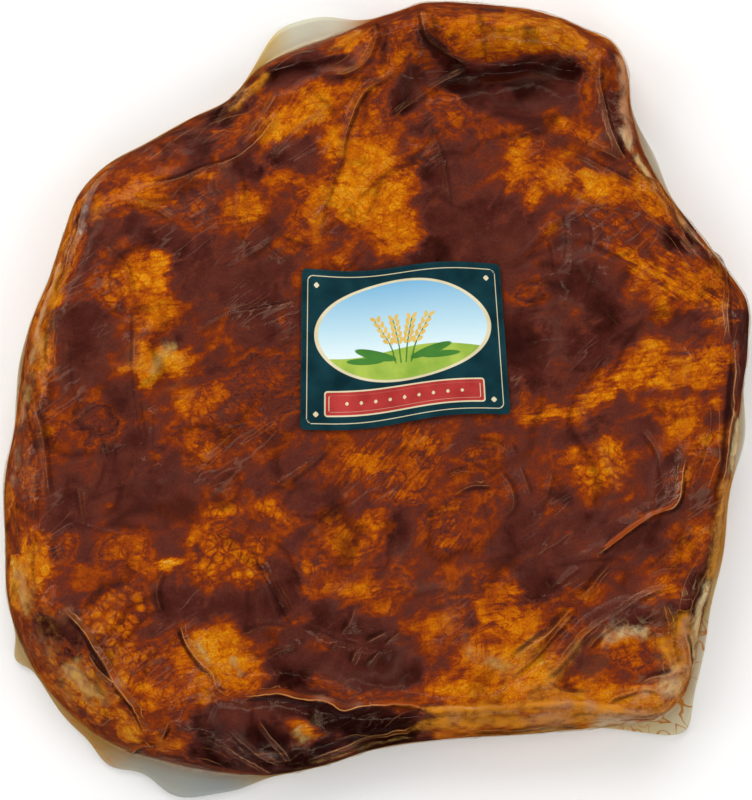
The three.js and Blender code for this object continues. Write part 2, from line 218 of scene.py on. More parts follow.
# Uneven patterns laid over the pack: size in mm, seed and layers
patterns = {
    "foldWander": (26, 41, 2),
    "wrinkleShiftX": (38, 3, 2), "wrinkleShiftY": (38, 5, 2), "wrinkleShiftZ": (38, 7, 2),
    "wrinklePatchUp": (45, 61, 2), "wrinklePatchDown": (45, 67, 2), "wrinklePatchAcross": (45, 73, 2),
    "meatSwell": (30, 61, 2), "meatDimple": (9, 71, 2),
    "fatShiftX": (12, 101, 3), "fatDriftX": (34, 104, 2),
    "fatShiftY": (12, 111, 3), "fatDriftY": (34, 114, 2),
    "mottle": (17, 121, 4), "coatCloud": (60, 131, 2), "fatEdge": (21, 141, 3),
    "veilEdge": (12, 201, 3), "drawnPatch": (17, 221, 1), "turnDrift": (26, 231, 2),
    "foldBreak": (13, 241, 1), "hairPatch": (26, 251, 2),
    "labelRipple": (22, 301, 2), "labelLift": (16, 311, 1),
}


def pattern(name, points):
    size, seed, layers = patterns[name]
    total, scale = 0, 0
    for k in range(layers):
        total = total + softNoise(points * (2**k / size), seed + k) / 2**k
        scale += 1 / 2**k
    return total / scale * 1.4


# A square of cells pressed into a round one, its faces, and its rim counterclockwise
def roundGrid(cells):
    a, b = np.meshgrid(np.linspace(-1, 1, cells + 1), np.linspace(-1, 1, cells + 1))
    a, b = a.ravel(), b.ravel()
    wide = np.abs(a) >= np.abs(b)
    r = np.where(wide, a, b)
    safe = np.where(r == 0, 1, r)
    angle = np.where(wide, np.pi / 4 * b / safe, np.pi / 2 - np.pi / 4 * a / safe)
    n = np.arange((cells + 1) ** 2).reshape(cells + 1, cells + 1)
    faces = np.stack([n[:-1, :-1], n[:-1, 1:], n[1:, 1:], n[1:, :-1]], -1).reshape(-1, 4)
    rim = np.concatenate([n[0, :-1], n[:-1, -1], n[-1, :0:-1], n[:0:-1, 0]])
    return r * np.cos(angle), r * np.sin(angle), faces, rim


# The closed skin of the slab: a grid on top, rings down the sides, the loops that lower() gives, and a flat
# underside. Down goes from 0 on the flat top to 1 where the sides end, then 2 on the lower loops.
def slabSkin(cells, rings, lower):
    dx, dy, faces, rim = roundGrid(cells)
    bearing = bearingOf(dx, dy)
    radius = outlineRadius(bearing) - easedRound(slab["sides"], bearing)
    x, y = dx * radius, dy * radius
    points = [np.stack([x, y, surfaceHeight(x, y)], 1)]
    down = [np.zeros(len(x))]
    quads, tris = [faces], []
    around = bearingOf(x[rim], y[rim])
    loop, count = rim, len(x)
    loops = []
    for k in range(1, rings + 1):
        t = k / rings * np.pi / 2
        r = outlineRadius(around) - easedRound(slab["sides"], around) * (1 - np.sin(t))
        high = topHeight(r * np.cos(np.radians(around)), r * np.sin(np.radians(around)))
        loops.append((r, slab["flangeRoot"] + (high - slab["flangeRoot"]) * np.cos(t), k / rings))
    loops += [(r, z, 2) for r, z in lower(around)]
    for r, z, share in loops:
        angle = np.radians(around)
        points.append(np.stack([r * np.cos(angle), r * np.sin(angle), z], 1))
        down.append(np.full(len(rim), float(share)))
        new = count + np.arange(len(rim))
        quads.append(np.stack([loop, new, np.roll(new, -1), np.roll(loop, -1)], 1))
        loop, count = new, count + len(rim)
    level = points[-1][:, 2].mean()
    ring = points[-1]
    while len(ring) % 2 == 0 and len(ring) > 30:
        ring = ring[::2] * [0.72, 0.72, 0] + [0, 0, level]
        new = count + np.arange(len(ring))
        old, mid = loop[::2], loop[1::2]
        nextNew, nextOld = np.roll(new, -1), np.roll(old, -1)
        tris += [np.stack(t, 1) for t in ((old, new, mid), (mid, new, nextNew), (mid, nextNew, nextOld))]
        points.append(ring)
        down.append(np.full(len(ring), 2.0))
        loop, count = new, count + len(ring)
    points.append(np.array([[0, 0, level]]))
    down.append(np.array([2.0]))
    tris.append(np.stack([loop, np.full(len(loop), count), np.roll(loop, -1)], 1))
    faces = np.concatenate(quads).tolist() + np.concatenate(tris).tolist()
    return np.vstack(points), faces, np.concatenate(down)


def vertexNormals(points, faces):
    corners = np.array([f if len(f) == 4 else f + [f[0]] for f in faces])
    a, b, c, d = (points[corners[:, k]] for k in range(4))
    flat = np.cross(c - a, d - b)
    normals = np.zeros_like(points)
    for k in range(4):
        np.add.at(normals, corners[:, k], flat)
    return normals / np.maximum(np.linalg.norm(normals, axis=1), 1e-9)[:, None]


# A mesh object of the model, smooth, with named values at its points
def newPiece(name, points, faces, values, material):
    mesh = bpy.data.meshes.new(name)
    mesh.from_pydata((points * mm).tolist(), [], faces)
    mesh.polygons.foreach_set("use_smooth", [True] * len(faces))
    for key, data in values.items():
        if data.ndim == 1:
            mesh.attributes.new(key, "FLOAT", "POINT").data.foreach_set("value", data.astype(np.float32))
        else:
            colours = np.hstack([data, np.ones((len(data), 1))]).astype(np.float32)
            mesh.attributes.new(key, "FLOAT_COLOR", "POINT").data.foreach_set("color", colours.ravel())
    mesh.validate()
    mesh.update()
    mesh.materials.append(material)
    piece = bpy.data.objects.new(name, mesh)
    bpy.context.scene.collection.objects.link(piece)
    return piece


# sRGB hex to linear colour
def linear(code):
    parts = np.array([int(code[i:i + 2], 16) / 255 for i in (1, 3, 5)])
    return np.where(parts <= 0.04045, parts / 12.92, ((parts + 0.055) / 1.055) ** 2.4)


def rgba(code):
    return (*linear(code), 1.0)


# A material with an empty tree, the place in the object and the values that the mesh carries at its points
def newMaterial(name, carried=()):
    material = bpy.data.materials.new(name)
    material.use_nodes = True
    tree = material.node_tree
    tree.nodes.clear()
    place = addNode(tree, "TexCoord", {}).outputs["Object"]
    nodes = {key: addNode(tree, "Attribute", {"attribute_name": key}) for key in carried}
    return material, tree, place, {key: node.outputs["Fac"] for key, node in nodes.items()}


# Adds a shader node: a key is a property of it or an input by name or number, and a node or socket is linked
def addNode(tree, kind, settings):
    node = tree.nodes.new("ShaderNode" + kind)
    for key, value in settings.items():
        if isinstance(value, bpy.types.Node):
            value = value.outputs[0]
        if isinstance(value, bpy.types.NodeSocket):
            tree.links.new(value, node.inputs[key])
        elif isinstance(key, str) and hasattr(node, key):
            setattr(node, key, value)
        else:
            node.inputs[key].default_value = value
    return node


# Cloudy unevenness about zero in patches of a size in mm, drawn out along an angle in degrees if one is given
def uneven(tree, place, size, detail=3.0, rough=0.6, bend=0.0, angle=None, times=1.0):
    if angle is not None:
        place = addNode(tree, "Mapping", {
            "vector_type": "TEXTURE", "Vector": place, "Rotation": (0, 0, radians(angle)),
            "Scale": (times, 1, 1)})
    cloud = addNode(tree, "TexNoise", {
        "Vector": place, "Scale": 1 / (size * mm), "Detail": detail, "Roughness": rough, "Distortion": bend})
    return addNode(tree, "Math", {"operation": "SUBTRACT", 0: cloud, 1: 0.5})


# A thin line: 1 where a value is at its middle, 0 from the half-width on
def lineAt(tree, value, middle, half):
    off = addNode(tree, "Math", {"operation": "SUBTRACT", 0: value, 1: middle})
    off = addNode(tree, "Math", {"operation": "ABSOLUTE", 0: off})
    return addNode(tree, "MapRange", {"Value": off, "From Min": half, "From Max": half * 0.25})


# A start value plus the product of each pair
def weighted(tree, start, pairs):
    total = start
    for a, b in pairs:
        total = addNode(tree, "Math", {"operation": "MULTIPLY_ADD", 0: a, 1: b, 2: total})
    return total


def fillRamp(node, stops):
    ramp = node.color_ramp
    ramp.interpolation = "LINEAR"
    while len(ramp.elements) < len(stops):
        ramp.elements.new(0.5)
    for element, (place, code) in zip(ramp.elements, stops):
        element.position, element.color = place, rgba(code)


# Places on the pack are noted where the photograph shows them, in its pixels, from a camera a metre up
photo = {
    "middle": (376, 400),
    "scale": 0.41,  # mm of floor to a pixel
    "camera": 1000,  # mm above the floor
    "top": 37,  # how high most of what is seen lies, mm
    "nearSide": 24,  # the same for the rounded near side, mm
    "nearSideFrom": 712,  # the row from which on that is seen
}
photo["scaleOnTop"] = photo["scale"] * (1 - photo["top"] / photo["camera"])


# A place of the photograph on the pack, to the millimetre
def onPack(column, row):
    height = photo["nearSide"] if row >= photo["nearSideFrom"] else photo["top"]
    size = photo["scale"] * (1 - height / photo["camera"])
    return round((column - photo["middle"][0]) * size), round((photo["middle"][1] - row) * size)


# Distance, side and share of a path noted in the photograph, for points within reach of it
def alongPath(path, x, y, reach):
    return nearPath(smoothCurve([onPack(*place) for place in path], 5), x, y, reach)


# Folds of the film: height, half-width, lean, ink (a pale line of painted highlight on the doubled film if
# positive, a dark line of painted shade if not), path
folds = [
    # tall edges that stand round the top
    (2.8, 2.3, -0.7, 1.5, [(228, 690), (250, 695), (280, 693), (307, 698), (330, 705), (343, 709),
        (363, 707), (390, 707), (415, 708), (440, 709)]),
    (2.2, 2, -0.7, 0.3, [(424, 709), (497, 708), (550, 705), (590, 706), (620, 710), (645, 711), (690, 706)]),
    (2.6, 2, -0.6, 1.05, [(62, 608), (85, 630), (98, 655), (116, 685), (132, 707), (150, 732)]),
    (1.8, 1.8, 0.6, 1.3, [(688, 452), (681, 480), (675, 504), (655, 517), (630, 531), (606, 549),
        (594, 558)]),
    (2.2, 2, -0.6, 0.5, [(520, 698), (545, 680), (570, 655), (591, 634), (618, 612), (645, 598), (676, 584)]),
    (2.4, 2, 0.7, 0.6, [(600, 48), (601, 90), (606, 115), (618, 145), (640, 175), (655, 185), (675, 220),
        (690, 245), (705, 252)]),
    (1.6, 1.6, 0.6, 0.8, [(700, 250), (720, 256), (726, 280), (728, 318), (733, 342)]),
    (2, 1.8, -0.5, 0.9, [(733, 340), (731, 400), (726, 450), (720, 490), (712, 530), (703, 560),
        (690, 600), (684, 630)]),
    (2, 2, -0.6, 0.7, [(104, 168), (90, 190), (80, 225), (66, 260), (56, 300)]),
    (1.8, 1.6, 0.6, 0.5, [(35, 400), (45, 450), (52, 500)]),
    (1.8, 1.6, 0.5, 0.75, [(145, 188), (185, 177), (205, 170), (230, 162), (245, 152), (258, 140),
        (280, 110)]),
    (1, 1.2, 0.5, 0.6, [(370, 18), (376, 34), (372, 48), (362, 62), (346, 74), (330, 74)]),
    (1.6, 1.6, 0.5, 0.7, [(405, 55), (385, 75), (370, 85), (360, 100), (352, 118), (345, 135), (338, 160),
        (322, 200), (310, 250)]),
    (1.6, 1.4, -0.6, 0.7, [(422, 10), (424, 28), (430, 38), (447, 50), (467, 64)]),
    (1.8, 1.6, 0.6, -0.6, [(135, 300), (134, 390), (140, 440), (147, 480)]),
    (1.4, 1.4, -0.5, -0.5, [(128, 380), (124, 400), (120, 425), (112, 470)]),
    (1.4, 1.4, 0.5, 0.4, [(190, 335), (225, 320), (262, 310), (300, 298)]),
    (1, 1.2, 0.5, 0.4, [(200, 355), (250, 336), (300, 318)]),
    (1, 1.2, -0.5, 0.3, [(222, 368), (242, 360), (300, 335)]),
    (1.6, 1.6, 0.5, -0.5, [(272, 412), (280, 407), (290, 400), (300, 380)]),
    (1.6, 1.6, -0.5, 0.35, [(275, 492), (310, 465), (338, 437), (350, 434)]),
    (1.4, 1.4, 0.5, -0.5, [(195, 480), (200, 500), (212, 520)]),
    (1.4, 1.4, 0.5, -0.5, [(225, 470), (235, 480), (245, 490), (262, 500)]),
    (2, 1.6, 0.6, -0.85, [(244, 536), (260, 564), (280, 604), (304, 652)]),
    (0.9, 1, -0.5, 0.45, [(252, 540), (268, 570), (288, 604), (309, 644)]),
    (1.6, 1.4, 0.5, -0.7, [(470, 462), (480, 467), (498, 478)]),
    (1.2, 1.6, -0.5, 0.75, [(452, 496), (470, 485), (494, 487)]),
    (1, 1.2, 0.5, 0.5, [(498, 470), (510, 486), (512, 506), (500, 520)]),
    (1, 1.2, 0.5, 0.55, [(448, 478), (462, 470), (478, 474)]),
    (1, 1.1, 0.5, 0.45, [(236, 636), (262, 628), (292, 632), (310, 644)]),
    (1, 1.2, -0.5, 0.5, [(262, 660), (280, 650), (300, 646)]),
    (1.8, 1.4, -0.6, 1.3, [(178, 622), (187, 640), (200, 660), (213, 674), (220, 687), (240, 693)]),
    (1.8, 1.6, 0.6, -0.6, [(296, 626), (320, 634), (340, 640), (370, 648), (400, 650)]),
    (1.2, 1.2, 0.5, 0.7, [(350, 668), (358, 652), (372, 640), (388, 630)]),
    (1.2, 1.2, 0.5, 0.7, [(366, 672), (376, 658), (392, 640), (404, 630)]),
    (1.2, 1.2, 0.5, 0.5, [(330, 655), (338, 640), (350, 622), (356, 606)]),
    (1.6, 1.4, 0.5, 1.5, [(160, 739), (146, 744), (130, 752), (118, 766)]),
    (1.2, 1.2, 0.5, 1.2, [(172, 712), (167, 724), (158, 740)]),
    (1.8, 1.8, 0.5, 0.8, [(304, 762), (330, 747), (362, 734), (385, 727), (416, 719)]),
    (1.4, 1.4, 0.5, 0.8, [(210, 735), (232, 748), (258, 762), (276, 772)]),
    (1.2, 1.4, -0.5, 0.8, [(232, 722), (246, 738), (262, 752), (280, 762)]),
    (1.2, 1.4, 0.5, 0.8, [(258, 714), (272, 732), (284, 748), (292, 762)]),
    (1.2, 1.2, 0.5, 0.5, [(185, 712), (205, 724), (225, 742)]),
    (0.6, 1.1, 0.5, 1, [(686, 585), (689, 606), (686, 632), (690, 654), (689, 682)]),
    (0.5, 0.8, 0.5, 1, [(640, 688), (654, 680), (668, 675), (682, 672), (692, 680), (693, 694), (688, 708)]),
    (0.5, 0.8, -0.5, 1, [(604, 706), (614, 697), (630, 690), (646, 686), (662, 692)]),
    # finer ones
    (0.8, 1, 0.5, 0.5, [(535, 140), (560, 150), (600, 165), (650, 190)]),
    (0.7, 1, -0.5, 0.35, [(520, 122), (555, 134), (598, 150), (628, 168)]),
    (0.7, 1, 0.5, 0.3, [(560, 190), (600, 205), (640, 215), (676, 236)]),
    (0.7, 1, 0.5, 0.45, [(160, 137), (176, 143), (195, 150)]),
    (0.7, 0.9, -0.5, 0.4, [(225, 88), (238, 92), (252, 96)]),
    (0.8, 1, 0.5, -0.3, [(450, 240), (440, 262), (438, 270)]),
    (0.8, 1, 0.5, 0.35, [(590, 308), (600, 310), (610, 316), (622, 330)]),
    (0.8, 1, -0.5, 0.35, [(640, 430), (650, 442), (660, 460), (664, 480)]),
    (0.8, 1, 0.5, 0.4, [(245, 655), (262, 664), (280, 680)]),
    (0.8, 1, 0.5, 0.35, [(425, 120), (440, 150), (448, 185), (446, 215)]),
    (0.7, 1, 0.5, 0.3, [(280, 90), (262, 120), (240, 150)]),
    (0.7, 1, -0.5, 0.3, [(330, 104), (300, 130), (268, 160)]),
    (0.8, 1, 0.5, 0.3, [(92, 240), (110, 250), (128, 270), (134, 300)]),
    (0.8, 1, 0.5, -0.3, [(70, 330), (74, 380), (82, 430), (92, 470)]),
    (0.7, 1, -0.5, 0.35, [(52, 300), (48, 340), (50, 370)]),
    (0.8, 1, 0.5, 0.4, [(172, 455), (190, 462), (214, 470)]),
    (0.8, 1, 0.5, -0.3, [(60, 520), (92, 526), (130, 540)]),
    (0.8, 1, -0.5, -0.3, [(160, 520), (184, 540), (206, 548)]),
    (1, 1.2, 0.5, 0.3, [(36, 470), (34, 510), (30, 560), (34, 600)]),
    (0.8, 1, 0.5, 0.35, [(300, 540), (314, 528), (334, 512), (356, 504)]),
    (0.8, 1, -0.5, 0.3, [(400, 600), (420, 590), (444, 586), (470, 594)]),
    (0.8, 1, 0.5, 0.35, [(416, 520), (440, 512), (466, 498)]),
    (1, 1.2, 0.5, 0.35, [(512, 440), (524, 470), (530, 500)]),
    (1, 1.2, -0.5, -0.3, [(500, 520), (516, 548), (520, 580), (512, 610)]),
    (0.8, 1, 0.5, 0.3, [(556, 470), (548, 494), (534, 512)]),
    (0.8, 1, 0.5, 0.35, [(640, 575), (660, 560), (682, 540), (696, 520)]),
    (1.2, 1.2, 0.5, 0.5, [(540, 674), (560, 690), (592, 694)]),
    (0.8, 1, 0.5, 0.4, [(470, 22), (500, 36), (540, 34), (580, 50)]),
    (0.8, 1, -0.5, 0.35, [(430, 16), (440, 30), (462, 40)]),
    (0.8, 1, 0.5, 0.3, [(712, 400), (704, 440), (690, 476)]),
    (0.8, 1, 0.5, 0.3, [(110, 700), (96, 680), (76, 668), (50, 660)]),
    (0.8, 1, 0.5, 0.4, [(165, 570), (158, 590), (164, 612)]),
    (0.8, 1, -0.5, 0.4, [(120, 200), (150, 208), (176, 222)]),
    (0.9, 1, 0.5, 0.35, [(520, 300), (545, 280), (575, 262), (600, 255)]),
    (0.8, 1, 0.5, -0.25, [(520, 350), (552, 342), (590, 344)]),
    (0.8, 1, 0.5, 0.25, [(230, 240), (262, 246), (292, 262)]),
    (0.5, 0.9, 0.5, 0.3, [(128, 152), (165, 135), (200, 122), (240, 104)]),
    (0.5, 0.9, -0.5, 0.25, [(140, 163), (180, 147), (215, 132)]),
    (0.5, 0.9, 0.5, 0.3, [(186, 120), (220, 110), (248, 96)]),
    (0.8, 1, 0.5, -0.5, [(214, 172), (213, 186), (219, 198), (212, 212), (200, 222)]),
    (1, 1.1, -0.5, 0.6, [(392, 122), (425, 92), (446, 78), (470, 68)]),
    (0.6, 0.9, 0.5, -0.3, [(502, 153), (524, 126), (559, 117), (594, 117)]),
    (0.8, 1.1, 0.5, 0.25, [(560, 212), (567, 236), (560, 264)]),
    (0.8, 1.1, -0.5, 0.25, [(578, 210), (591, 230), (588, 258)]),
    (1, 1.1, 0.5, 0.45, [(168, 715), (184, 726), (206, 722), (217, 706), (216, 690), (202, 677)]),
    (1.8, 1.8, 0.6, -0.7, [(586, 566), (574, 575), (556, 590), (524, 620)]),
    (1.8, 1.6, -0.6, 0.7, [(612, 556), (584, 594), (556, 622), (534, 640), (508, 664)]),
    (1.4, 1.6, 0.5, 0.5, [(584, 598), (560, 630), (534, 660), (506, 682)]),
    (1, 1.1, 0.5, 0.45, [(628, 616), (604, 632), (590, 650)]),
    (1.2, 1.4, -0.5, 0.5, [(741, 410), (733, 464), (722, 499), (716, 530), (704, 556), (694, 600)]),
    (0.9, 1, 0.5, 0.45, [(425, 723), (524, 720), (599, 716), (683, 708)]),
    (0.9, 1, 0.5, 0.4, [(643, 575), (662, 566), (684, 570)]),
    (0.7, 0.9, 0.5, 0.5, [(543, 580), (552, 590), (560, 602)]),
    (0.7, 0.9, -0.5, 0.45, [(520, 596), (532, 606), (540, 622)]),
    (0.9, 1, 0.5, -0.45, [(14, 520), (44, 534), (60, 562)]),
    (0.9, 1, -0.5, 0.4, [(74, 488), (80, 504), (82, 520)]),
    (1.2, 1.4, 0.5, -0.6, [(262, 72), (300, 62), (346, 54)]),
    (0.7, 0.9, 0.5, 0.4, [(470, 440), (500, 444), (520, 460)]),
    (0.7, 0.9, -0.5, -0.4, [(480, 500), (490, 524), (492, 560)]),
    (0.4, 0.8, 0.5, 1.1, [(446, 717), (490, 722), (540, 719), (586, 713), (640, 717), (684, 713)]),
    (0.4, 0.8, -0.5, 0.9, [(470, 728), (520, 727), (556, 722), (588, 724)]),
    (0.6, 0.9, 0.5, 0.5, [(668, 600), (676, 622), (672, 646), (678, 668)]),
    (1.3, 1.6, 0.6, 0.2, [(190, 372), (226, 346), (262, 330), (304, 308)]),
    (0.9, 1.2, -0.5, -0.55, [(202, 374), (236, 353), (268, 337), (298, 318)]),
    (1.8, 4.2, 0, 0.02, [(577, 208), (576, 240), (571, 290), (566, 326)]),
    (0.9, 1.1, 0.5, -0.5, [(548, 232), (554, 262), (562, 292), (568, 318)]),
    (0.8, 1.1, -0.5, -0.4, [(596, 214), (598, 246), (590, 284), (580, 312)]),
    (0.7, 1, 0.5, 0.25, [(552, 316), (566, 330), (590, 322), (606, 306)]),
    (0.9, 1.1, 0.5, -0.4, [(212, 196), (232, 214), (252, 236)]),
    (1.5, 1.3, 0.5, -0.8, [(138, 396), (142, 420), (146, 450), (145, 482)]),
    (1.6, 3.4, 0, 0.05, [(158, 402), (160, 440), (166, 478)]),
    (0.9, 1, -0.5, -0.6, [(152, 410), (154, 440), (158, 470)]),
    (0.9, 1, 0.5, 0.35, [(108, 386), (124, 404), (134, 426)]),
    (0.8, 1, 0.5, -0.5, [(112, 470), (106, 450), (100, 420)]),
    (1, 1.2, 0.5, 0.3, [(296, 378), (276, 398), (262, 414)]),
    (1, 1.2, -0.5, -0.6, [(300, 372), (286, 396), (268, 412)]),
    (1, 1.2, 0.5, 0.3, [(182, 472), (200, 480), (214, 492), (240, 500), (268, 490)]),
    (0.9, 1.1, 0.5, -0.5, [(186, 478), (200, 488), (216, 498)]),
]

# Where the film is milky or stained, and where 'sheen' is a painted sheen of soft reflections: half-width,
# strength, colour, path
veils = [
    (1.2, 0.5, "cream", [(60, 270), (66, 238), (78, 206), (98, 172), (130, 144)]),
    (1.2, 0.5, "pale", [(76, 240), (88, 208), (100, 182)]),
    (3.4, 0.6, "gold", [(58, 256), (50, 290), (42, 324), (36, 362)]),
    (0.9, 0.5, "cream", [(58, 250), (46, 290), (36, 330), (26, 372)]),
    (4, 0.45, "honey", [(40, 330), (30, 366), (24, 410)]),
    (3.5, 0.45, "rust", [(22, 396), (15, 440), (12, 500)]),
    (4, 0.45, "honey", [(14, 556), (16, 590), (24, 622)]),
    (9, 0.3, "amber", [(30, 560), (40, 620), (70, 680), (104, 724)]),
    (7, 0.42, "khaki", [(60, 662), (86, 688), (112, 712)]),
    (4, 0.4, "honey", [(40, 680), (66, 712), (96, 742), (126, 766)]),
    (3, 0.8, "pale", [(256, 52), (288, 32), (330, 20), (366, 14)]),
    (4, 0.7, "gold", [(218, 106), (240, 93), (254, 80), (268, 64)]),
    (4, 0.35, "gold", [(322, 46), (346, 40), (366, 28)]),
    (3, 0.4, "cream", [(205, 100), (232, 92), (250, 82)]),
    (3.5, 0.7, "rust", [(612, 48), (622, 66), (626, 96), (628, 126), (640, 150)]),
    (1.8, 0.6, "straw", [(620, 124), (634, 148), (648, 166), (656, 180)]),
    (2.6, 0.5, "gold", [(632, 146), (648, 168), (664, 190), (678, 212), (692, 230)]),
    (1, 0.5, "cream", [(684, 212), (700, 238), (716, 262)]),
    (3, 0.45, "rust", [(650, 178), (672, 206), (690, 228), (704, 244)]),
    (2.6, 0.85, "straw", [(744, 412), (738, 440), (730, 478)]),
    (4, 0.95, "amber", [(732, 470), (724, 520), (719, 556), (712, 590)]),
    (3, 0.85, "straw", [(714, 578), (706, 602), (700, 632), (696, 684)]),
    (7, 0.7, "gold", [(680, 606), (684, 640), (686, 690), (686, 716)]),
    (4, 0.5, "straw", [(656, 684), (670, 686), (688, 692)]),
    (1.8, 0.7, "khaki", [(194, 636), (202, 650), (212, 664)]),
    (2.2, 0.55, "khaki", [(228, 656), (236, 666), (244, 678)]),
    (4.2, 0.6, "khaki", [(296, 722), (302, 730), (308, 740)]),
    (3.4, 0.42, "khaki", [(146, 376), (156, 362), (166, 350), (180, 344)]),
    (3.6, 0.8, "grey", [(590, 720), (630, 719), (680, 719)]),
    (1.4, 0.5, "honey", [(300, 766), (340, 755), (372, 745), (420, 734)]),
    (3.6, 0.85, "gold", [(396, 722), (440, 720), (480, 718), (560, 716), (640, 716)]),
    (1.5, 0.9, "gold", [(396, 709), (440, 709), (497, 708), (550, 705), (590, 706), (620, 710),
        (645, 711), (690, 707)]),
    (2, 0.6, "khaki", [(510, 730), (548, 729), (580, 726)]),
    (3, 0.75, "straw", [(580, 729), (610, 727), (645, 727), (676, 725)]),
    (5, 0.42, "honey", [(456, 652), (490, 664), (530, 674)]),
    (3.2, 0.66, "straw", [(600, 642), (618, 634), (638, 631), (652, 635)]),
    (3, 0.4, "gold", [(640, 634), (664, 646), (674, 664)]),
    (4.5, 0.3, "straw", [(640, 696), (662, 682), (684, 668)]),
    (3, 0.25, "sheen", [(744, 300), (746, 345), (744, 395)]),
    (4, 0.35, "amber", [(512, 697), (535, 690), (556, 672), (575, 646), (588, 626)]),
    (2, 0.35, "sheen", [(596, 640), (620, 612), (650, 594), (676, 580)]),
    (3, 0.2, "sheen", [(630, 448), (652, 460), (676, 470)]),
    (3, 0.2, "sheen", [(500, 476), (520, 470), (548, 462)]),
    (4, 0.2, "sheen", [(470, 236), (500, 240), (530, 232)]),
    (4, 0.2, "sheen", [(556, 214), (572, 236), (580, 262)]),
    (3, 0.2, "sheen", [(340, 628), (368, 616), (392, 604)]),
    (3, 0.25, "sheen", [(360, 682), (384, 668), (400, 644)]),
    (3, 0.2, "sheen", [(110, 146), (160, 140), (214, 116)]),
    (3, 0.25, "sheen", [(240, 744), (262, 752), (300, 746)]),
    (5, 0.3, "gold", [(440, 700), (520, 698), (640, 698), (676, 690)]),
    (2.5, 0.2, "sheen", [(185, 704), (230, 736), (290, 756), (350, 744)]),
]
# colours of the stains, and 'sheen', the grey of the painted sheen
stainAndSheenColours = {
    "cream": "#e2b488", "straw": "#e4ca92", "amber": "#d48c32", "olive": "#a87a2c", "rust": "#c88a60",
    "pale": "#ece8d6", "grey": "#cfcab4", "khaki": "#bf9c56", "honey": "#c4944c", "gold": "#d08006",
    "sheen": "#7a625c",
}

# Colour of the spare film, by bearing
spareColours = [
    (-178, "#dcd6b8"), (-144, "#ccb482"), (-130, "#bc904c"), (-121, "#b0b0a4"), (-112, "#a8aeaa"),
    (-104, "#bca678"), (-80, "#b8925a"), (-66, "#ac8848"), (-54, "#dac48e"), (-46, "#d8ceaa"),
    (-38, "#dcd6bc"), (-30, "#e0c88c"), (-23, "#cc8e3a"), (-14, "#d09c4c"), (-8, "#e2dfca"), (6, "#e0d8ba"),
    (30, "#cc9060"), (40, "#e4e2d0"), (60, "#c88c58"), (90, "#cc7c36"), (97, "#e4e0c8"), (102, "#dedcc2"),
    (107, "#dcbc70"), (114, "#d4943a"), (150, "#d8b080"),
]

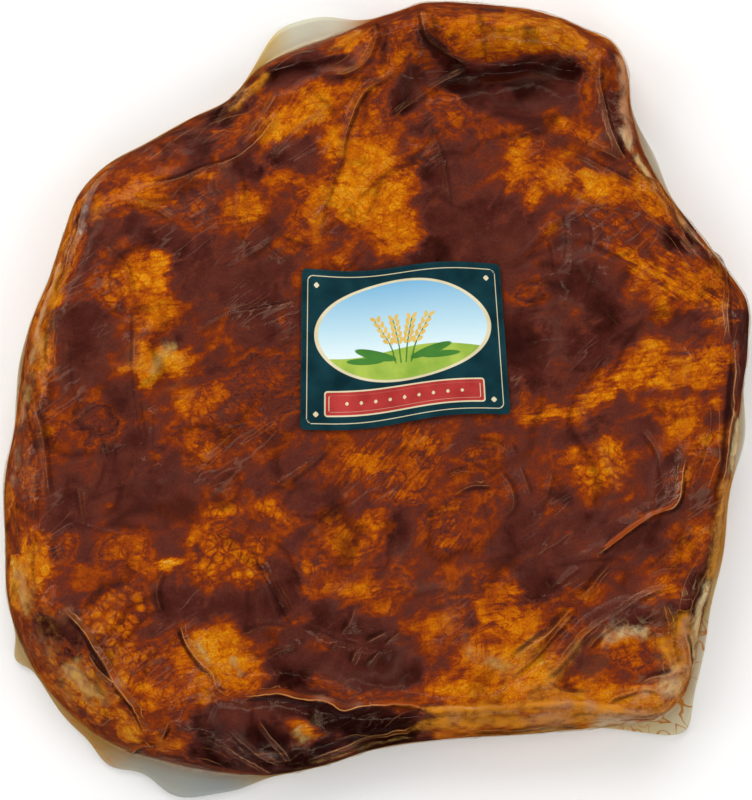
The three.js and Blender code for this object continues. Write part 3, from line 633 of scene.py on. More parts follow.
# Fat that shows through the rub: middle and half-sizes in the photograph, turn, tone (0 the dark rub, 1 bare
# fat), share of globules, share of streaks
fatPatches = [
    (350, 38, 22, 9, 25, 0.8, 0, 0.5), (724, 436, 9, 26, 85, 0.7, 0, 0.3),
    (684, 228, 22, 8, -52, 0.75, 0, 0.5), (246, 101, 16, 8, 30, 0.7, 0, 0.3),
    (46, 302, 36, 9, 76, 0.85, 0, 0.5), (36, 362, 28, 12, 82, 0.8, 0, 0.4), (66, 238, 24, 8, 66, 0.8, 0, 0.4),
    (28, 424, 30, 9, 84, 0.7, 0, 0.4), (660, 190, 40, 7, -52, 0.8, 0, 0.5),
    (545, 24, 34, 8, -8, 0.85, 0, 0.4), (729, 362, 12, 26, 84, 0.7, 0, 0.3),
    (41, 436, 11, 26, 85, 0.65, 0, 0.3), (228, 126, 24, 13, 30, 0.6, 0, 0.4),
    (278, 176, 18, 16, -30, 0.75, 0.2, 0.2), (412, 182, 12, 15, 0, 0.8, 0.2, 0.1),
    (318, 230, 11, 20, -8, 0.75, 0.2, 0), (716, 270, 12, 22, -30, 0.7, 0, 0.3),
    (560, 178, 20, 11, -20, 0.85, 0.3, 0.3), (566, 690, 24, 8, -8, 0.9, 0.2, 0.3),
    (374, 528, 9, 15, 80, 0.8, 0.5, 0), (612, 722, 40, 5, 0, 0.9, 0.2, 0.3),
    # upper left
    (136, 190, 26, 16, 8, 0.75, 0.2, 0), (150, 203, 22, 9, -10, 0.75, 0.2, 0),
    (94, 210, 7, 15, -12, 0.8, 0.1, 0), (117, 172, 15, 8, 32, 0.55, 0.1, 0),
    (192, 212, 24, 19, 0, 0.6, 0.8, 0), (203, 176, 15, 6, 12, 0.75, 0.2, 0),
    (242, 202, 19, 17, 20, 0.8, 0.5, 0.2), (70, 262, 6, 22, -22, 0.65, 0.1, 0),
    # upper middle
    (300, 112, 40, 17, 36, 0.85, 0.2, 0.1), (274, 134, 14, 13, 40, 0.9, 0.2, 0),
    (322, 98, 18, 14, 0, 0.8, 0.2, 0), (352, 92, 20, 15, 20, 0.7, 0.4, 0),
    (396, 62, 26, 13, 32, 0.7, 0.4, 0.3), (366, 112, 22, 14, 0, 0.65, 0.6, 0),
    (334, 128, 12, 26, -16, 0.8, 0.2, 0.2), (362, 150, 22, 20, 0, 0.8, 0.4, 0),
    (390, 170, 30, 22, -20, 0.85, 0.4, 0), (360, 190, 36, 32, 0, 0.85, 0.15, 0),
    (349, 200, 20, 16, -30, 0.95, 0, 0), (384, 212, 30, 24, -45, 0.85, 0.4, 0),
    (399, 244, 18, 19, 0, 0.9, 0.1, 0), (380, 226, 20, 14, 0, 0.75, 0.5, 0),
    (318, 200, 9, 30, -26, 0.75, 0.3, 0.4), (296, 240, 9, 18, -38, 0.7, 0.3, 0.3),
    (303, 190, 10, 16, -10, 0.6, 0.4, 0.2), (342, 263, 9, 9, 0, 0.65, 0.1, 0),
    (414, 148, 14, 9, -20, 0.75, 0.5, 0), (468, 112, 28, 16, -22, 0.6, 0.3, 0.1),
    # top roll
    (398, 34, 30, 17, 10, 0.6, 0.5, 0.2), (440, 36, 24, 26, 0, 0.7, 0.4, 0.1),
    (470, 30, 20, 14, 0, 0.8, 0.3, 0), (480, 48, 30, 13, -10, 0.8, 0.5, 0.2),
    (520, 32, 34, 20, -4, 0.85, 0.4, 0.3), (560, 44, 30, 17, -18, 0.85, 0.3, 0.4),
    (585, 60, 14, 12, -30, 0.75, 0.2, 0.3), (502, 60, 14, 8, 0, 0.8, 0.6, 0),
    (448, 52, 14, 8, -30, 0.65, 0.3, 0), (592, 82, 8, 26, 0, 0.6, 0.1, 0.2),
    # upper right
    (566, 122, 12, 8, -25, 0.75, 0.1, 0.2), (590, 134, 16, 7, -32, 0.7, 0.1, 0.3),
    (518, 140, 16, 6, 10, 0.75, 0.1, 0.1), (512, 162, 11, 19, -14, 0.85, 0.1, 0),
    (526, 168, 14, 22, -10, 0.65, 0.3, 0), (534, 196, 8, 12, -20, 0.8, 0.1, 0),
    (590, 178, 14, 9, -20, 0.9, 0.1, 0.1), (610, 184, 14, 12, -30, 0.85, 0.3, 0.2),
    (578, 196, 15, 6, -32, 0.75, 0.1, 0.2), (598, 192, 10, 9, 0, 0.85, 0.1, 0),
    (624, 196, 12, 9, -30, 0.7, 0.2, 0.5), (644, 198, 18, 8, -34, 0.75, 0.2, 0.6),
    (668, 214, 14, 9, -40, 0.7, 0.1, 0.5), (551, 228, 9, 9, -40, 0.7, 0.1, 0),
    (600, 220, 16, 8, -20, 0.55, 0.6, 0.1), (620, 226, 14, 8, -20, 0.6, 0.6, 0.1),
    (640, 262, 32, 8, -34, 0.85, 0.1, 0.8), (668, 278, 30, 8, -32, 0.8, 0.1, 0.8),
    (700, 292, 32, 10, -16, 0.8, 0.2, 0.8), (690, 262, 32, 9, -38, 0.7, 0.1, 0.8),
    (712, 276, 20, 8, -30, 0.65, 0.1, 0.8), (662, 304, 11, 18, 12, 0.85, 0.2, 0.2),
    (640, 284, 10, 14, 0, 0.7, 0.4, 0), (722, 306, 10, 8, 0, 0.75, 0.1, 0.5),
    (722, 322, 16, 6, 0, 0.7, 0.1, 0.7),
    # middle right
    (531, 293, 13, 9, 10, 0.5, 0, 0), (650, 362, 30, 14, -2, 0.85, 0.5, 0.4),
    (652, 348, 10, 8, 0, 0.85, 0.1, 0), (690, 370, 38, 9, 4, 0.8, 0.4, 0.6),
    (724, 362, 18, 6, 4, 0.7, 0.1, 0.8), (624, 380, 26, 11, 14, 0.85, 0.5, 0.4),
    (596, 396, 24, 10, 26, 0.8, 0.3, 0.6), (562, 412, 26, 8, 14, 0.75, 0.2, 0.7),
    (526, 396, 5, 18, 8, 0.6, 0, 0.2), (680, 404, 20, 9, 2, 0.75, 0.4, 0.1),
    (684, 426, 11, 16, -10, 0.8, 0.4, 0), (716, 402, 8, 9, 0, 0.8, 0, 0), (706, 444, 8, 9, -30, 0.85, 0.1, 0),
    (700, 382, 26, 5, 0, 0.75, 0.2, 0.6), (577, 456, 13, 7, -8, 0.8, 0.3, 0),
    (598, 474, 24, 19, -16, 0.85, 0.9, 0), (615, 448, 13, 9, -30, 0.85, 0.2, 0),
    (566, 462, 12, 7, 0, 0.6, 0.3, 0), (684, 480, 6, 18, -16, 0.7, 0, 0.4),
    (648, 518, 16, 6, 22, 0.55, 0.1, 0.2), (724, 490, 8, 26, -6, 0.7, 0.3, 0.2),
    (698, 456, 12, 8, 0, 0.65, 0.3, 0),
    # left
    (136, 270, 16, 24, 0, 0.8, 0.6, 0.1), (154, 276, 16, 32, 2, 0.9, 0.1, 0.1),
    (114, 288, 13, 20, 10, 0.75, 0.9, 0), (158, 262, 20, 12, 10, 0.9, 0.2, 0.2),
    (150, 318, 18, 18, 0, 0.75, 0.5, 0.1), (160, 306, 14, 10, 0, 0.8, 0.3, 0),
    (163, 360, 30, 18, 4, 0.9, 0.2, 0.1), (162, 353, 15, 7, 8, 1.05, 0, 0),
    (147, 378, 12, 9, 30, 0.95, 0.1, 0), (140, 350, 8, 22, -6, 0.8, 0.1, 0.1),
    (41, 342, 12, 30, -4, 0.85, 0.2, 0), (44, 352, 7, 14, 0, 0.95, 0.2, 0), (45, 384, 16, 12, 0, 0.7, 0.3, 0),
    (28, 420, 10, 30, -6, 0.6, 0.3, 0.4), (26, 470, 17, 34, -10, 0.6, 0.4, 0.5),
    (46, 412, 9, 8, 0, 0.6, 0, 0), (185, 402, 12, 12, 0, 0.8, 0.3, 0), (214, 394, 16, 12, 20, 0.7, 0.5, 0),
    (196, 410, 14, 10, 0, 0.65, 0.6, 0), (222, 425, 30, 20, 10, 0.5, 0.3, 0.1),
    (212, 454, 14, 10, -10, 0.75, 0.6, 0), (190, 438, 9, 14, -20, 0.6, 0.2, 0.1),
    (232, 440, 16, 11, 0, 0.6, 0.4, 0.1), (254, 425, 20, 18, -30, 0.6, 0.4, 0.2),
    (110, 425, 22, 20, 10, 0.45, 0.2, 0.2), (270, 380, 30, 22, 20, 0.45, 0.1, 0.1),
    # centre and lower middle
    (366, 462, 22, 13, 44, 0.7, 0.1, 0.9), (404, 462, 30, 24, 60, 0.55, 0.1, 1),
    (418, 444, 14, 14, 60, 0.65, 0.1, 1), (412, 484, 18, 12, 60, 0.6, 0.1, 1),
    (474, 456, 12, 6, 10, 0.55, 0.1, 0.3), (452, 508, 18, 11, 20, 0.6, 0.1, 0.5),
    (448, 540, 20, 16, 40, 0.6, 0.2, 0.6), (434, 520, 10, 8, 0, 0.5, 0.1, 0.4),
    (342, 546, 26, 24, 0, 0.7, 0.2, 0), (330, 520, 12, 8, 0, 0.65, 0.2, 0), (308, 569, 9, 8, 0, 0.7, 0.9, 0),
    (326, 562, 12, 8, 0, 0.55, 0.6, 0), (372, 540, 10, 16, 0, 0.6, 0.1, 0.1),
    (352, 590, 32, 9, 8, 0.75, 0.2, 0.1), (382, 606, 12, 11, 0, 0.65, 0.3, 0),
    (400, 580, 12, 14, 0, 0.6, 0.1, 0), (225, 508, 16, 9, 10, 0.8, 0.8, 0),
    (272, 512, 16, 9, -20, 0.8, 0.9, 0), (122, 554, 20, 13, -8, 0.6, 0.5, 0),
    (138, 566, 12, 8, -26, 0.7, 0.4, 0), (132, 548, 12, 9, -20, 0.7, 0.4, 0),
    (170, 563, 14, 6, 16, 0.95, 0, 0), (196, 533, 9, 8, 30, 0.85, 0.6, 0), (226, 545, 30, 20, 10, 0.75, 1, 0),
    (242, 570, 14, 12, 0, 0.8, 0.9, 0), (210, 572, 14, 12, 0, 0.75, 0.9, 0),
    (250, 560, 12, 20, 0, 0.8, 0.8, 0), (258, 545, 8, 10, 0, 0.7, 0.8, 0),
    # lower left
    (118, 604, 24, 18, -14, 0.7, 0.9, 0), (106, 626, 18, 16, -30, 0.85, 1, 0),
    (132, 600, 9, 14, 0, 0.7, 0.6, 0), (118, 660, 20, 18, -20, 0.85, 1, 0),
    (66, 545, 10, 14, -20, 0.6, 0.3, 0), (34, 568, 13, 22, -8, 0.9, 0.7, 0),
    (44, 604, 11, 12, 0, 0.7, 0.4, 0), (14, 580, 13, 38, -6, 0.95, 0.1, 0.1),
    (64, 648, 20, 10, -30, 0.2, 0, 0), (78, 676, 38, 26, -38, 0.85, 0.9, 0),
    (88, 682, 19, 16, -30, 1, 0.7, 0), (60, 700, 24, 14, -45, 0.65, 0.5, 0),
    (98, 712, 14, 16, -30, 0.8, 0.8, 0), (112, 700, 10, 8, 0, 0.8, 0.4, 0),
    (134, 720, 15, 20, 10, 0.9, 0.5, 0), (128, 736, 12, 9, 0, 0.95, 0.4, 0),
    (150, 656, 14, 12, 30, 0.7, 0.6, 0.2), (170, 640, 14, 8, 30, 0.65, 0.3, 0.3),
    (222, 660, 38, 26, -10, 0.85, 0.2, 0.1), (205, 650, 8, 17, 18, 1.05, 0, 0),
    (232, 640, 16, 8, 0, 0.75, 0.3, 0), (228, 684, 26, 10, -20, 0.8, 0.1, 0.1),
    (150, 700, 16, 20, -10, 0.7, 0.4, 0), (146, 684, 8, 9, 0, 0.85, 0.2, 0),
    (176, 698, 16, 14, 0, 0.6, 0.4, 0.1), (207, 696, 9, 14, -10, 0.8, 0.3, 0),
    (186, 690, 14, 8, 20, 0.7, 0.3, 0), (166, 742, 15, 17, -30, 0.75, 0.4, 0),
    # lower right
    (432, 630, 24, 13, 18, 0.7, 0.3, 0.3), (488, 600, 8, 26, 12, 0.6, 0, 0.6),
    (500, 596, 12, 14, 0, 0.6, 0.2, 0.6), (516, 596, 12, 12, 0, 0.75, 0.2, 0.4),
    (524, 622, 24, 12, 10, 0.75, 0.1, 0.3), (504, 616, 12, 14, -30, 0.7, 0.1, 0.5),
    (482, 614, 6, 12, 20, 0.8, 0, 0), (480, 660, 24, 18, 0, 0.8, 0.2, 0.2),
    (520, 664, 34, 20, -4, 0.85, 0.1, 0.3), (512, 652, 18, 5, 8, 0.9, 0, 0.2),
    (466, 690, 40, 12, 4, 0.85, 0.5, 0), (462, 694, 24, 7, 4, 0.95, 0.4, 0),
    (500, 694, 30, 9, 0, 0.8, 0.3, 0.1), (400, 690, 34, 5, 4, 0.65, 0.2, 0.2),
    (545, 668, 14, 12, 30, 0.9, 0.1, 0.3), (530, 680, 30, 12, 24, 0.85, 0.1, 0.3),
    (560, 612, 16, 14, -10, 0.65, 0.2, 0.1), (566, 630, 16, 12, 30, 0.6, 0.2, 0.2),
    (588, 594, 16, 8, 34, 0.7, 0.2, 0.2), (622, 640, 24, 10, 10, 0.85, 0.4, 0),
    (616, 636, 14, 6, 0, 0.95, 0.1, 0), (640, 646, 12, 8, 0, 0.7, 0.5, 0), (626, 656, 18, 9, 0, 0.6, 0.5, 0),
    (640, 664, 10, 8, 0, 0.6, 0.4, 0), (664, 590, 15, 14, 20, 0.75, 0.3, 0.3),
    (682, 548, 14, 17, -20, 0.7, 0.4, 0.2), (700, 530, 9, 18, -30, 0.7, 0.2, 0.2),
    (664, 640, 18, 24, -14, 0.65, 0.8, 0.2), (684, 650, 14, 30, -8, 0.8, 0.6, 0.2),
    (690, 668, 14, 22, 0, 0.85, 0.4, 0.2), (600, 692, 30, 12, 6, 0.8, 0.3, 0.1),
    (580, 684, 12, 8, 20, 0.85, 0.4, 0), (640, 696, 34, 10, 6, 0.9, 0.3, 0.2),
    (545, 708, 70, 6, -1, 0.8, 0.2, 0.3), (640, 708, 40, 5, 4, 0.85, 0.1, 0.3),
    # near side wall
    (304, 730, 18, 16, 0, 0.85, 0.2, 0), (470, 724, 40, 10, 4, 0.7, 0.2, 0.2),
    (540, 722, 50, 9, 0, 0.8, 0.1, 0.2), (620, 722, 50, 8, 4, 0.95, 0.1, 0.1),
    (440, 738, 24, 5, 4, 0.75, 0.2, 0.2), (345, 695, 50, 4, -12, 0.6, 0.1, 0.2),
    (200, 770, 50, 5, -14, 0.4, 0.2, 0.1),
]

# How bare the rounded side is, by bearing
rimTones = [
    (-178, 0.7), (-170, 0.74), (-158, 0.7), (-146, 0.6), (-136, 0.72), (-126, 0.5), (-116, 0.2), (-104, 0.08),
    (-92, 0.3), (-82, 0.7), (-70, 0.86), (-56, 0.86), (-42, 0.78), (-30, 0.5), (-20, 0.6), (-10, 0.5),
    (0, 0.3), (10, 0.4), (20, 0.72), (32, 0.78), (42, 0.6), (52, 0.8), (64, 0.76), (76, 0.6), (86, 0.66),
    (94, 0.58), (104, 0.4), (112, 0.46), (124, 0.3), (134, 0.5), (142, 0.74), (152, 0.76), (160, 0.8),
    (170, 0.74),
]

# Grooves, hollows and places under rolls and ridges darkened, partly painted shade where they lie in shadow
# and partly rub that lies thick and dark: half-width, strength, path
darkRubAndShade = [
    (7, 0.6, [(256, 744), (300, 752), (344, 742)]), (9, 0.35, [(256, 664), (290, 678), (334, 690)]),
    (5, 0.4, [(664, 222), (678, 240), (692, 256)]), (6, 0.3, [(692, 480), (702, 506), (700, 530)]),
    (4, 0.5, [(654, 214), (666, 238), (684, 262)]), (5, 0.55, [(186, 750), (214, 763), (250, 770)]),
    (5, 0.5, [(280, 756), (306, 762), (330, 750)]),
    (4, 1.2, [(436, 90), (456, 78), (478, 70), (502, 69), (532, 65), (562, 68), (590, 82)]),
    (9, 0.75, [(450, 102), (500, 90), (540, 88), (590, 104)]),
    (3, 0.8, [(418, 24), (425, 38), (445, 56), (466, 70)]),
    (4, 1, [(258, 74), (296, 64), (338, 58), (352, 52)]), (2.5, 0.6, [(380, 52), (386, 36), (388, 22)]),
    (5, 0.6, [(200, 112), (235, 110), (262, 96)]), (7, 0.6, [(180, 150), (205, 140), (235, 118)]),
    (4, 0.6, [(420, 60), (400, 100), (404, 116)]), (7, 0.5, [(395, 130), (440, 215), (450, 262)]),
    (12, 0.5, [(466, 196), (490, 226), (540, 256)]),
    (14, 0.55, [(170, 246), (220, 270), (262, 286), (290, 300)]),
    (7, 0.5, [(120, 226), (150, 236), (190, 250)]), (6, 0.6, [(120, 380), (128, 420), (140, 470)]),
    (9, 0.55, [(70, 300), (76, 350), (80, 390)]), (8, 0.6, [(100, 460), (140, 500), (190, 470)]),
    (6, 0.5, [(80, 470), (60, 520), (96, 530)]), (8, 0.6, [(290, 560), (270, 590), (286, 620)]),
    (7, 0.6, [(310, 600), (330, 625), (400, 640)]), (8, 0.6, [(330, 660), (370, 676), (430, 672)]),
    (6, 0.6, [(150, 610), (176, 600), (262, 612)]), (9, 0.4, [(500, 520), (560, 540), (610, 520)]),
    (8, 0.5, [(520, 560), (540, 590), (560, 580)]), (8, 0.55, [(600, 540), (640, 530), (660, 560)]),
    (7, 0.55, [(610, 590), (640, 625), (690, 600)]), (9, 0.5, [(520, 300), (520, 360), (520, 400)]),
    (9, 0.5, [(560, 270), (600, 290), (620, 330)]), (7, 0.5, [(560, 350), (600, 350), (640, 330)]),
    (7, 0.5, [(700, 210), (690, 240), (660, 236)]), (5, 0.7, [(742, 300), (746, 350), (744, 400)]),
    (5, 0.7, [(706, 570), (694, 605), (690, 640)]), (7, 0.35, [(400, 500), (396, 540), (412, 580)]),
    (10, 0.9, [(196, 742), (240, 730), (290, 750)]),
    (5, 0.95, [(250, 704), (300, 708), (343, 720), (390, 718), (420, 718)]),
    (7, 0.8, [(340, 735), (372, 728), (420, 735)]), (6, 0.6, [(350, 752), (390, 742), (440, 738)]),
    (6, 0.6, [(30, 616), (56, 638), (86, 652)]), (6, 0.6, [(20, 420), (28, 440), (30, 470)]),
    (6, 0.5, [(610, 90), (620, 120), (632, 150)]), (6, 0.5, [(360, 260), (420, 262), (450, 240)]),
    (5, 0.5, [(96, 452), (130, 440), (170, 446)]), (5, 0.5, [(274, 648), (282, 670), (294, 690)]),
    (7, 0.5, [(230, 160), (270, 170), (290, 150)]), (7, 0.5, [(320, 140), (280, 160), (250, 190)]),
]

labelPlan = {
    "corners": [[-30, -12.4], [53.2, -5.2], [48.8, 54.2], [-29.2, 51.4]],  # from the lower left one round
    "wave": 1.3,
    "gap": 0.45,
    "thickness": 0.42,
    "width": 81,
    "height": 61,
    "cells": (168, 126),
    "corner": 1.4,  # how far from its tip a corner starts to be rounded, mm
    "ripple": 0.16,  # mm
    "lift": 0.35,  # how far the edges stand off in places, mm
}


# How far inside the label's edge a point is, from above
def insideLabel(x, y):
    corners = np.array(labelPlan["corners"])
    best = np.full_like(x, 1e9)
    for a, b in zip(corners, np.roll(corners, -1, 0)):
        ab = (b - a) / np.linalg.norm(b - a)
        best = np.minimum(best, ab[0] * (y - a[1]) - ab[1] * (x - a[0]))
    return best


foldLook = {
    "reach": 6.0,  # mm from a fold to where its line ends
    "wander": 1.5,  # how far a fold strays from its path, mm
    "taper": 0.14,  # share of a fold over which each end dies away
    "steep": 0.45,  # of its half-width, on the side that it leans to
    "slack": 1.25,  # the same on the other side
    "trough": 0.3,  # depth beside a fold, of its height
}


# 1 along the middle of a path, and less towards both ends
def faded(share, taper):
    return ease(share / taper) * ease((1 - share) / taper)


# What the folds do to the film at each point
def foldField(x, y, points):
    rise, trough = np.zeros(len(x)), np.zeros(len(x))
    edge, ink = np.full(len(x), foldLook["reach"]), np.zeros(len(x))
    nearest, second = np.full(len(x), 99.0), np.full(len(x), 99.0)
    wander = pattern("foldWander", points)
    for height, width, lean, line, path in folds:
        near, away, side, share = alongPath(path, x, y, foldLook["reach"] * 1.5)
        off = away * side * (1 if lean >= 0 else -1) + wander[near] * foldLook["wander"]
        fade = faded(share, foldLook["taper"]) * (0.8 + 0.4 * wander[near])
        # a crest with one steep side and one slack one
        shape = np.exp(-np.abs(off) / np.where(off > 0, width * foldLook["steep"], width * foldLook["slack"]))
        rise[near] = np.maximum(rise[near], height * fade * shape)
        beside = foldLook["trough"] * height * fade * np.exp(-(((off - 1.9 * width) / width) ** 2))
        trough[near] = np.maximum(trough[near], beside)
        away = np.abs(off)
        closer = away < nearest[near]
        second[near] = np.where(closer, nearest[near], np.minimum(second[near], away))
        chosen = near[closer]
        nearest[chosen] = away[closer]
        edge[chosen] = np.clip(off[closer], -foldLook["reach"], foldLook["reach"])
        ink[chosen] = (line * fade * ease((7 - away) / 4))[closer]
    # where two folds are equally near, neither leaves its line
    return rise, trough, edge, ink * ease((second - nearest - 0.6) / 1.4)


wrinkles = {
    "runs": [  # pattern of where they are, angle, seed, size in mm
        ("wrinklePatchUp", 35, 11, 15), ("wrinklePatchDown", -28, 17, 18), ("wrinklePatchAcross", 80, 23, 21),
    ],
    "shift": 9,  # how far they wander, mm
    "drawnOut": 2.6,  # times longer than wide
    "sharpness": 3.2,
    "height": 0.55,  # mm
    "gathersPerDegree": 0.19,  # down the sides
    "gatherSeed": 31,
    "gatherHeight": 0.8,  # mm
}


# Wrinkles of film drawn tight over the slab: thin ridges that fork, gathered closer down the sides, and the
# painted shade beside each ridge
def wrinkleField(points, bearing, down):
    warp = np.stack([pattern("wrinkleShift" + axis, points) for axis in "XYZ"], 1) * wrinkles["shift"]
    total, shade = np.zeros(len(points)), np.zeros(len(points))
    for where, angle, seed, size in wrinkles["runs"]:
        u, v = turned(points[:, 0] + warp[:, 0], points[:, 1] + warp[:, 1], angle)
        q = np.stack([u / wrinkles["drawnOut"], v, points[:, 2] + warp[:, 2]], 1)
        across = softNoise(q / size, seed) * wrinkles["sharpness"]
        patchy = ease(pattern(where, points) * 1.6 + 0.35)
        total = np.maximum(total, (1 - np.minimum(np.abs(across), 1)) ** 2.2 * patchy)
        # painted shade on one side of each ridge
        shade = np.maximum(shade, np.exp(-(((across - 0.7) / 0.3) ** 2)) * patchy)
    gathers = np.stack([bearing * wrinkles["gathersPerDegree"], down * 1.6, np.zeros(len(down))], 1)
    side = 1 - np.minimum(np.abs(softNoise(gathers, wrinkles["gatherSeed"])) * 2.4, 1)
    return total, shade, side**1.6 * ease(down * 3) * (1 - ease((down - 0.4) / 0.4))


baconPlan = {
    "cells": 236,  # of the grid on top, from side to side
    "rings": 18,
    "swell": 0.55,  # height of its low swells, mm
    "dimple": 0.22,  # and of the small dimples on them
    "inset": 0.4,  # how far the meat lies under the film, mm
    "insetOnTop": 0.25,  # more of it there
    "underLabel": 0.4,  # and under the label
    "foldShare": 0.3,  # how much of the film's folds the meat takes up
    "troughShare": 0.5,
    "lowest": 2.2,  # where its side ends, mm
    "fibreRuns": {"streakDown": -32, "streakLevel": 8, "streakUp": 54},  # degrees
    "shift": 2.2,  # how far the patches of fat are bent at their edges, mm
    "drift": 3.4,  # the same over longer stretches
}


# Low swells of the meat itself, shared by the slab and the film that clings to it
def meatRelief(points):
    low = baconPlan["swell"] * pattern("meatSwell", points)
    return low + baconPlan["dimple"] * pattern("meatDimple", points)


def filmLower(bearing):
    width, edge = flangeAt(bearing)
    r, root = outlineRadius(bearing), slab["flangeRoot"]
    spread = ease((width - 1.5) / 5)
    ripple = spread * 0.45 * np.sin(np.radians(bearing) * 41)
    out = [(r + width * s, root + (edge - root) * s + ripple * s) for s in (0.2, 0.4, 0.6, 0.8, 1.0)]
    out.append((r + width + 0.1, edge + ripple - 0.45))
    out.append((r + width * 0.75, np.maximum(edge + ripple - 1.1, 0.25)))
    out.append((r - slab["footInset"], np.zeros_like(r)))
    return out


def meatLower(bearing):
    r = outlineRadius(bearing)
    return [(r - 1.6, np.full_like(r, 1.5)), (r - 4.5, np.full_like(r, 0.7)), (r - 9, np.full_like(r, 0.6))]


def baconPoints():
    points, faces, down = slabSkin(baconPlan["cells"], baconPlan["rings"], meatLower)
    normals = vertexNormals(points, faces)
    x, y = points[:, 0], points[:, 1]
    rise, trough, _, _ = foldField(x, y, points)
    upper = np.where(down > 1, 0, 1 - 0.6 * ease((down - 0.7) / 0.3))
    taken = meatRelief(points) + baconPlan["foldShare"] * rise - baconPlan["troughShare"] * trough
    push = -baconPlan["inset"] - baconPlan["insetOnTop"] * (1 - ease(down / 0.6)) + upper * taken
    push -= baconPlan["underLabel"] * ease(insideLabel(x, y) / 2 + 0.5)
    moved = points + normals * np.where(down > 1, 0, push)[:, None]
    moved[down == 1, 2] = np.minimum(moved[down == 1, 2], baconPlan["lowest"])
    return points, moved, faces, down


# Where fat shows through the rub (1 in the middle of a patch, 0.5 at its edge) and what it looks like there
def fatField(points, down):
    x, y = points[:, 0], points[:, 1]
    wx, wy = (pattern("fatShift" + axis, points) * baconPlan["shift"]
              + pattern("fatDrift" + axis, points) * baconPlan["drift"] for axis in "XY")
    mottle = pattern("mottle", points)
    coat = 0.26 + 0.14 * mottle + 0.08 * pattern("coatCloud", points)
    fat, level, weight, globules = np.zeros(len(x)), np.zeros(len(x)), np.full(len(x), 1e-9), np.zeros(len(x))
    runs = baconPlan["fibreRuns"]
    streaks = {key: np.zeros(len(x)) for key in runs}
    for column, row, halfWidth, halfHeight, turn, tone, cells, streak in fatPatches:
        cx, cy = onPack(column, row)
        rx, ry = (max(1, round(half * photo["scaleOnTop"])) for half in (halfWidth, halfHeight))
        near = np.flatnonzero((np.abs(x - cx) < 3 * max(rx, ry)) & (np.abs(y - cy) < 3 * max(rx, ry)))
        small = min(1, (rx + ry) / 17)
        px, py = turned(x[near] + wx[near] * small - cx, y[near] + wy[near] * small - cy, turn)
        share = 0.5 ** ((px / rx) ** 2 + (py / ry) ** 2)
        fat[near] += share**3
        level[near] += share**2 * tone
        weight[near] += share**2
        globules[near] = np.maximum(globules[near], cells * ease(share * 2))
        run = streaks[min(runs, key=lambda key: abs((runs[key] - turn + 90) % 180 - 90))]
        run[near] = np.maximum(run[near], min(max(streak, 0.25), 0.7) * ease(share * 2.5))
    fat = fat ** (1 / 3) + 0.1 + 0.12 * pattern("fatEdge", points)
    level = level / weight
    rim = easedRound(rimTones, bearingOf(x, y)) * 0.95 + 0.1 * mottle
    side = ease((down - 0.3) / 0.3)
    level = np.where(rim * side > fat, np.clip(rim + 0.12, 0.5, 0.92), level)
    fat = np.maximum(fat, rim * side)
    # painted shade in the grooves and under the rolls, with the thick dark rub, darkens the fat and the coat
    for width, strength, path in darkRubAndShade:
        near, away, _, share = alongPath(path, x, y, 3 * width)
        rubAndShade = strength * faded(share, 0.12) * np.exp(-(((away + wx[near] * 0.6) / width) ** 2))
        fat[near] -= rubAndShade * (0.45 + np.maximum(fat[near], 0) * 0.8)
        coat[near] -= rubAndShade * 0.22
    return {"fat": np.clip(fat, -0.4, 1.1), "level": np.clip(level, 0.4, 1.1), "coat": coat,
            "globules": globules, **streaks}


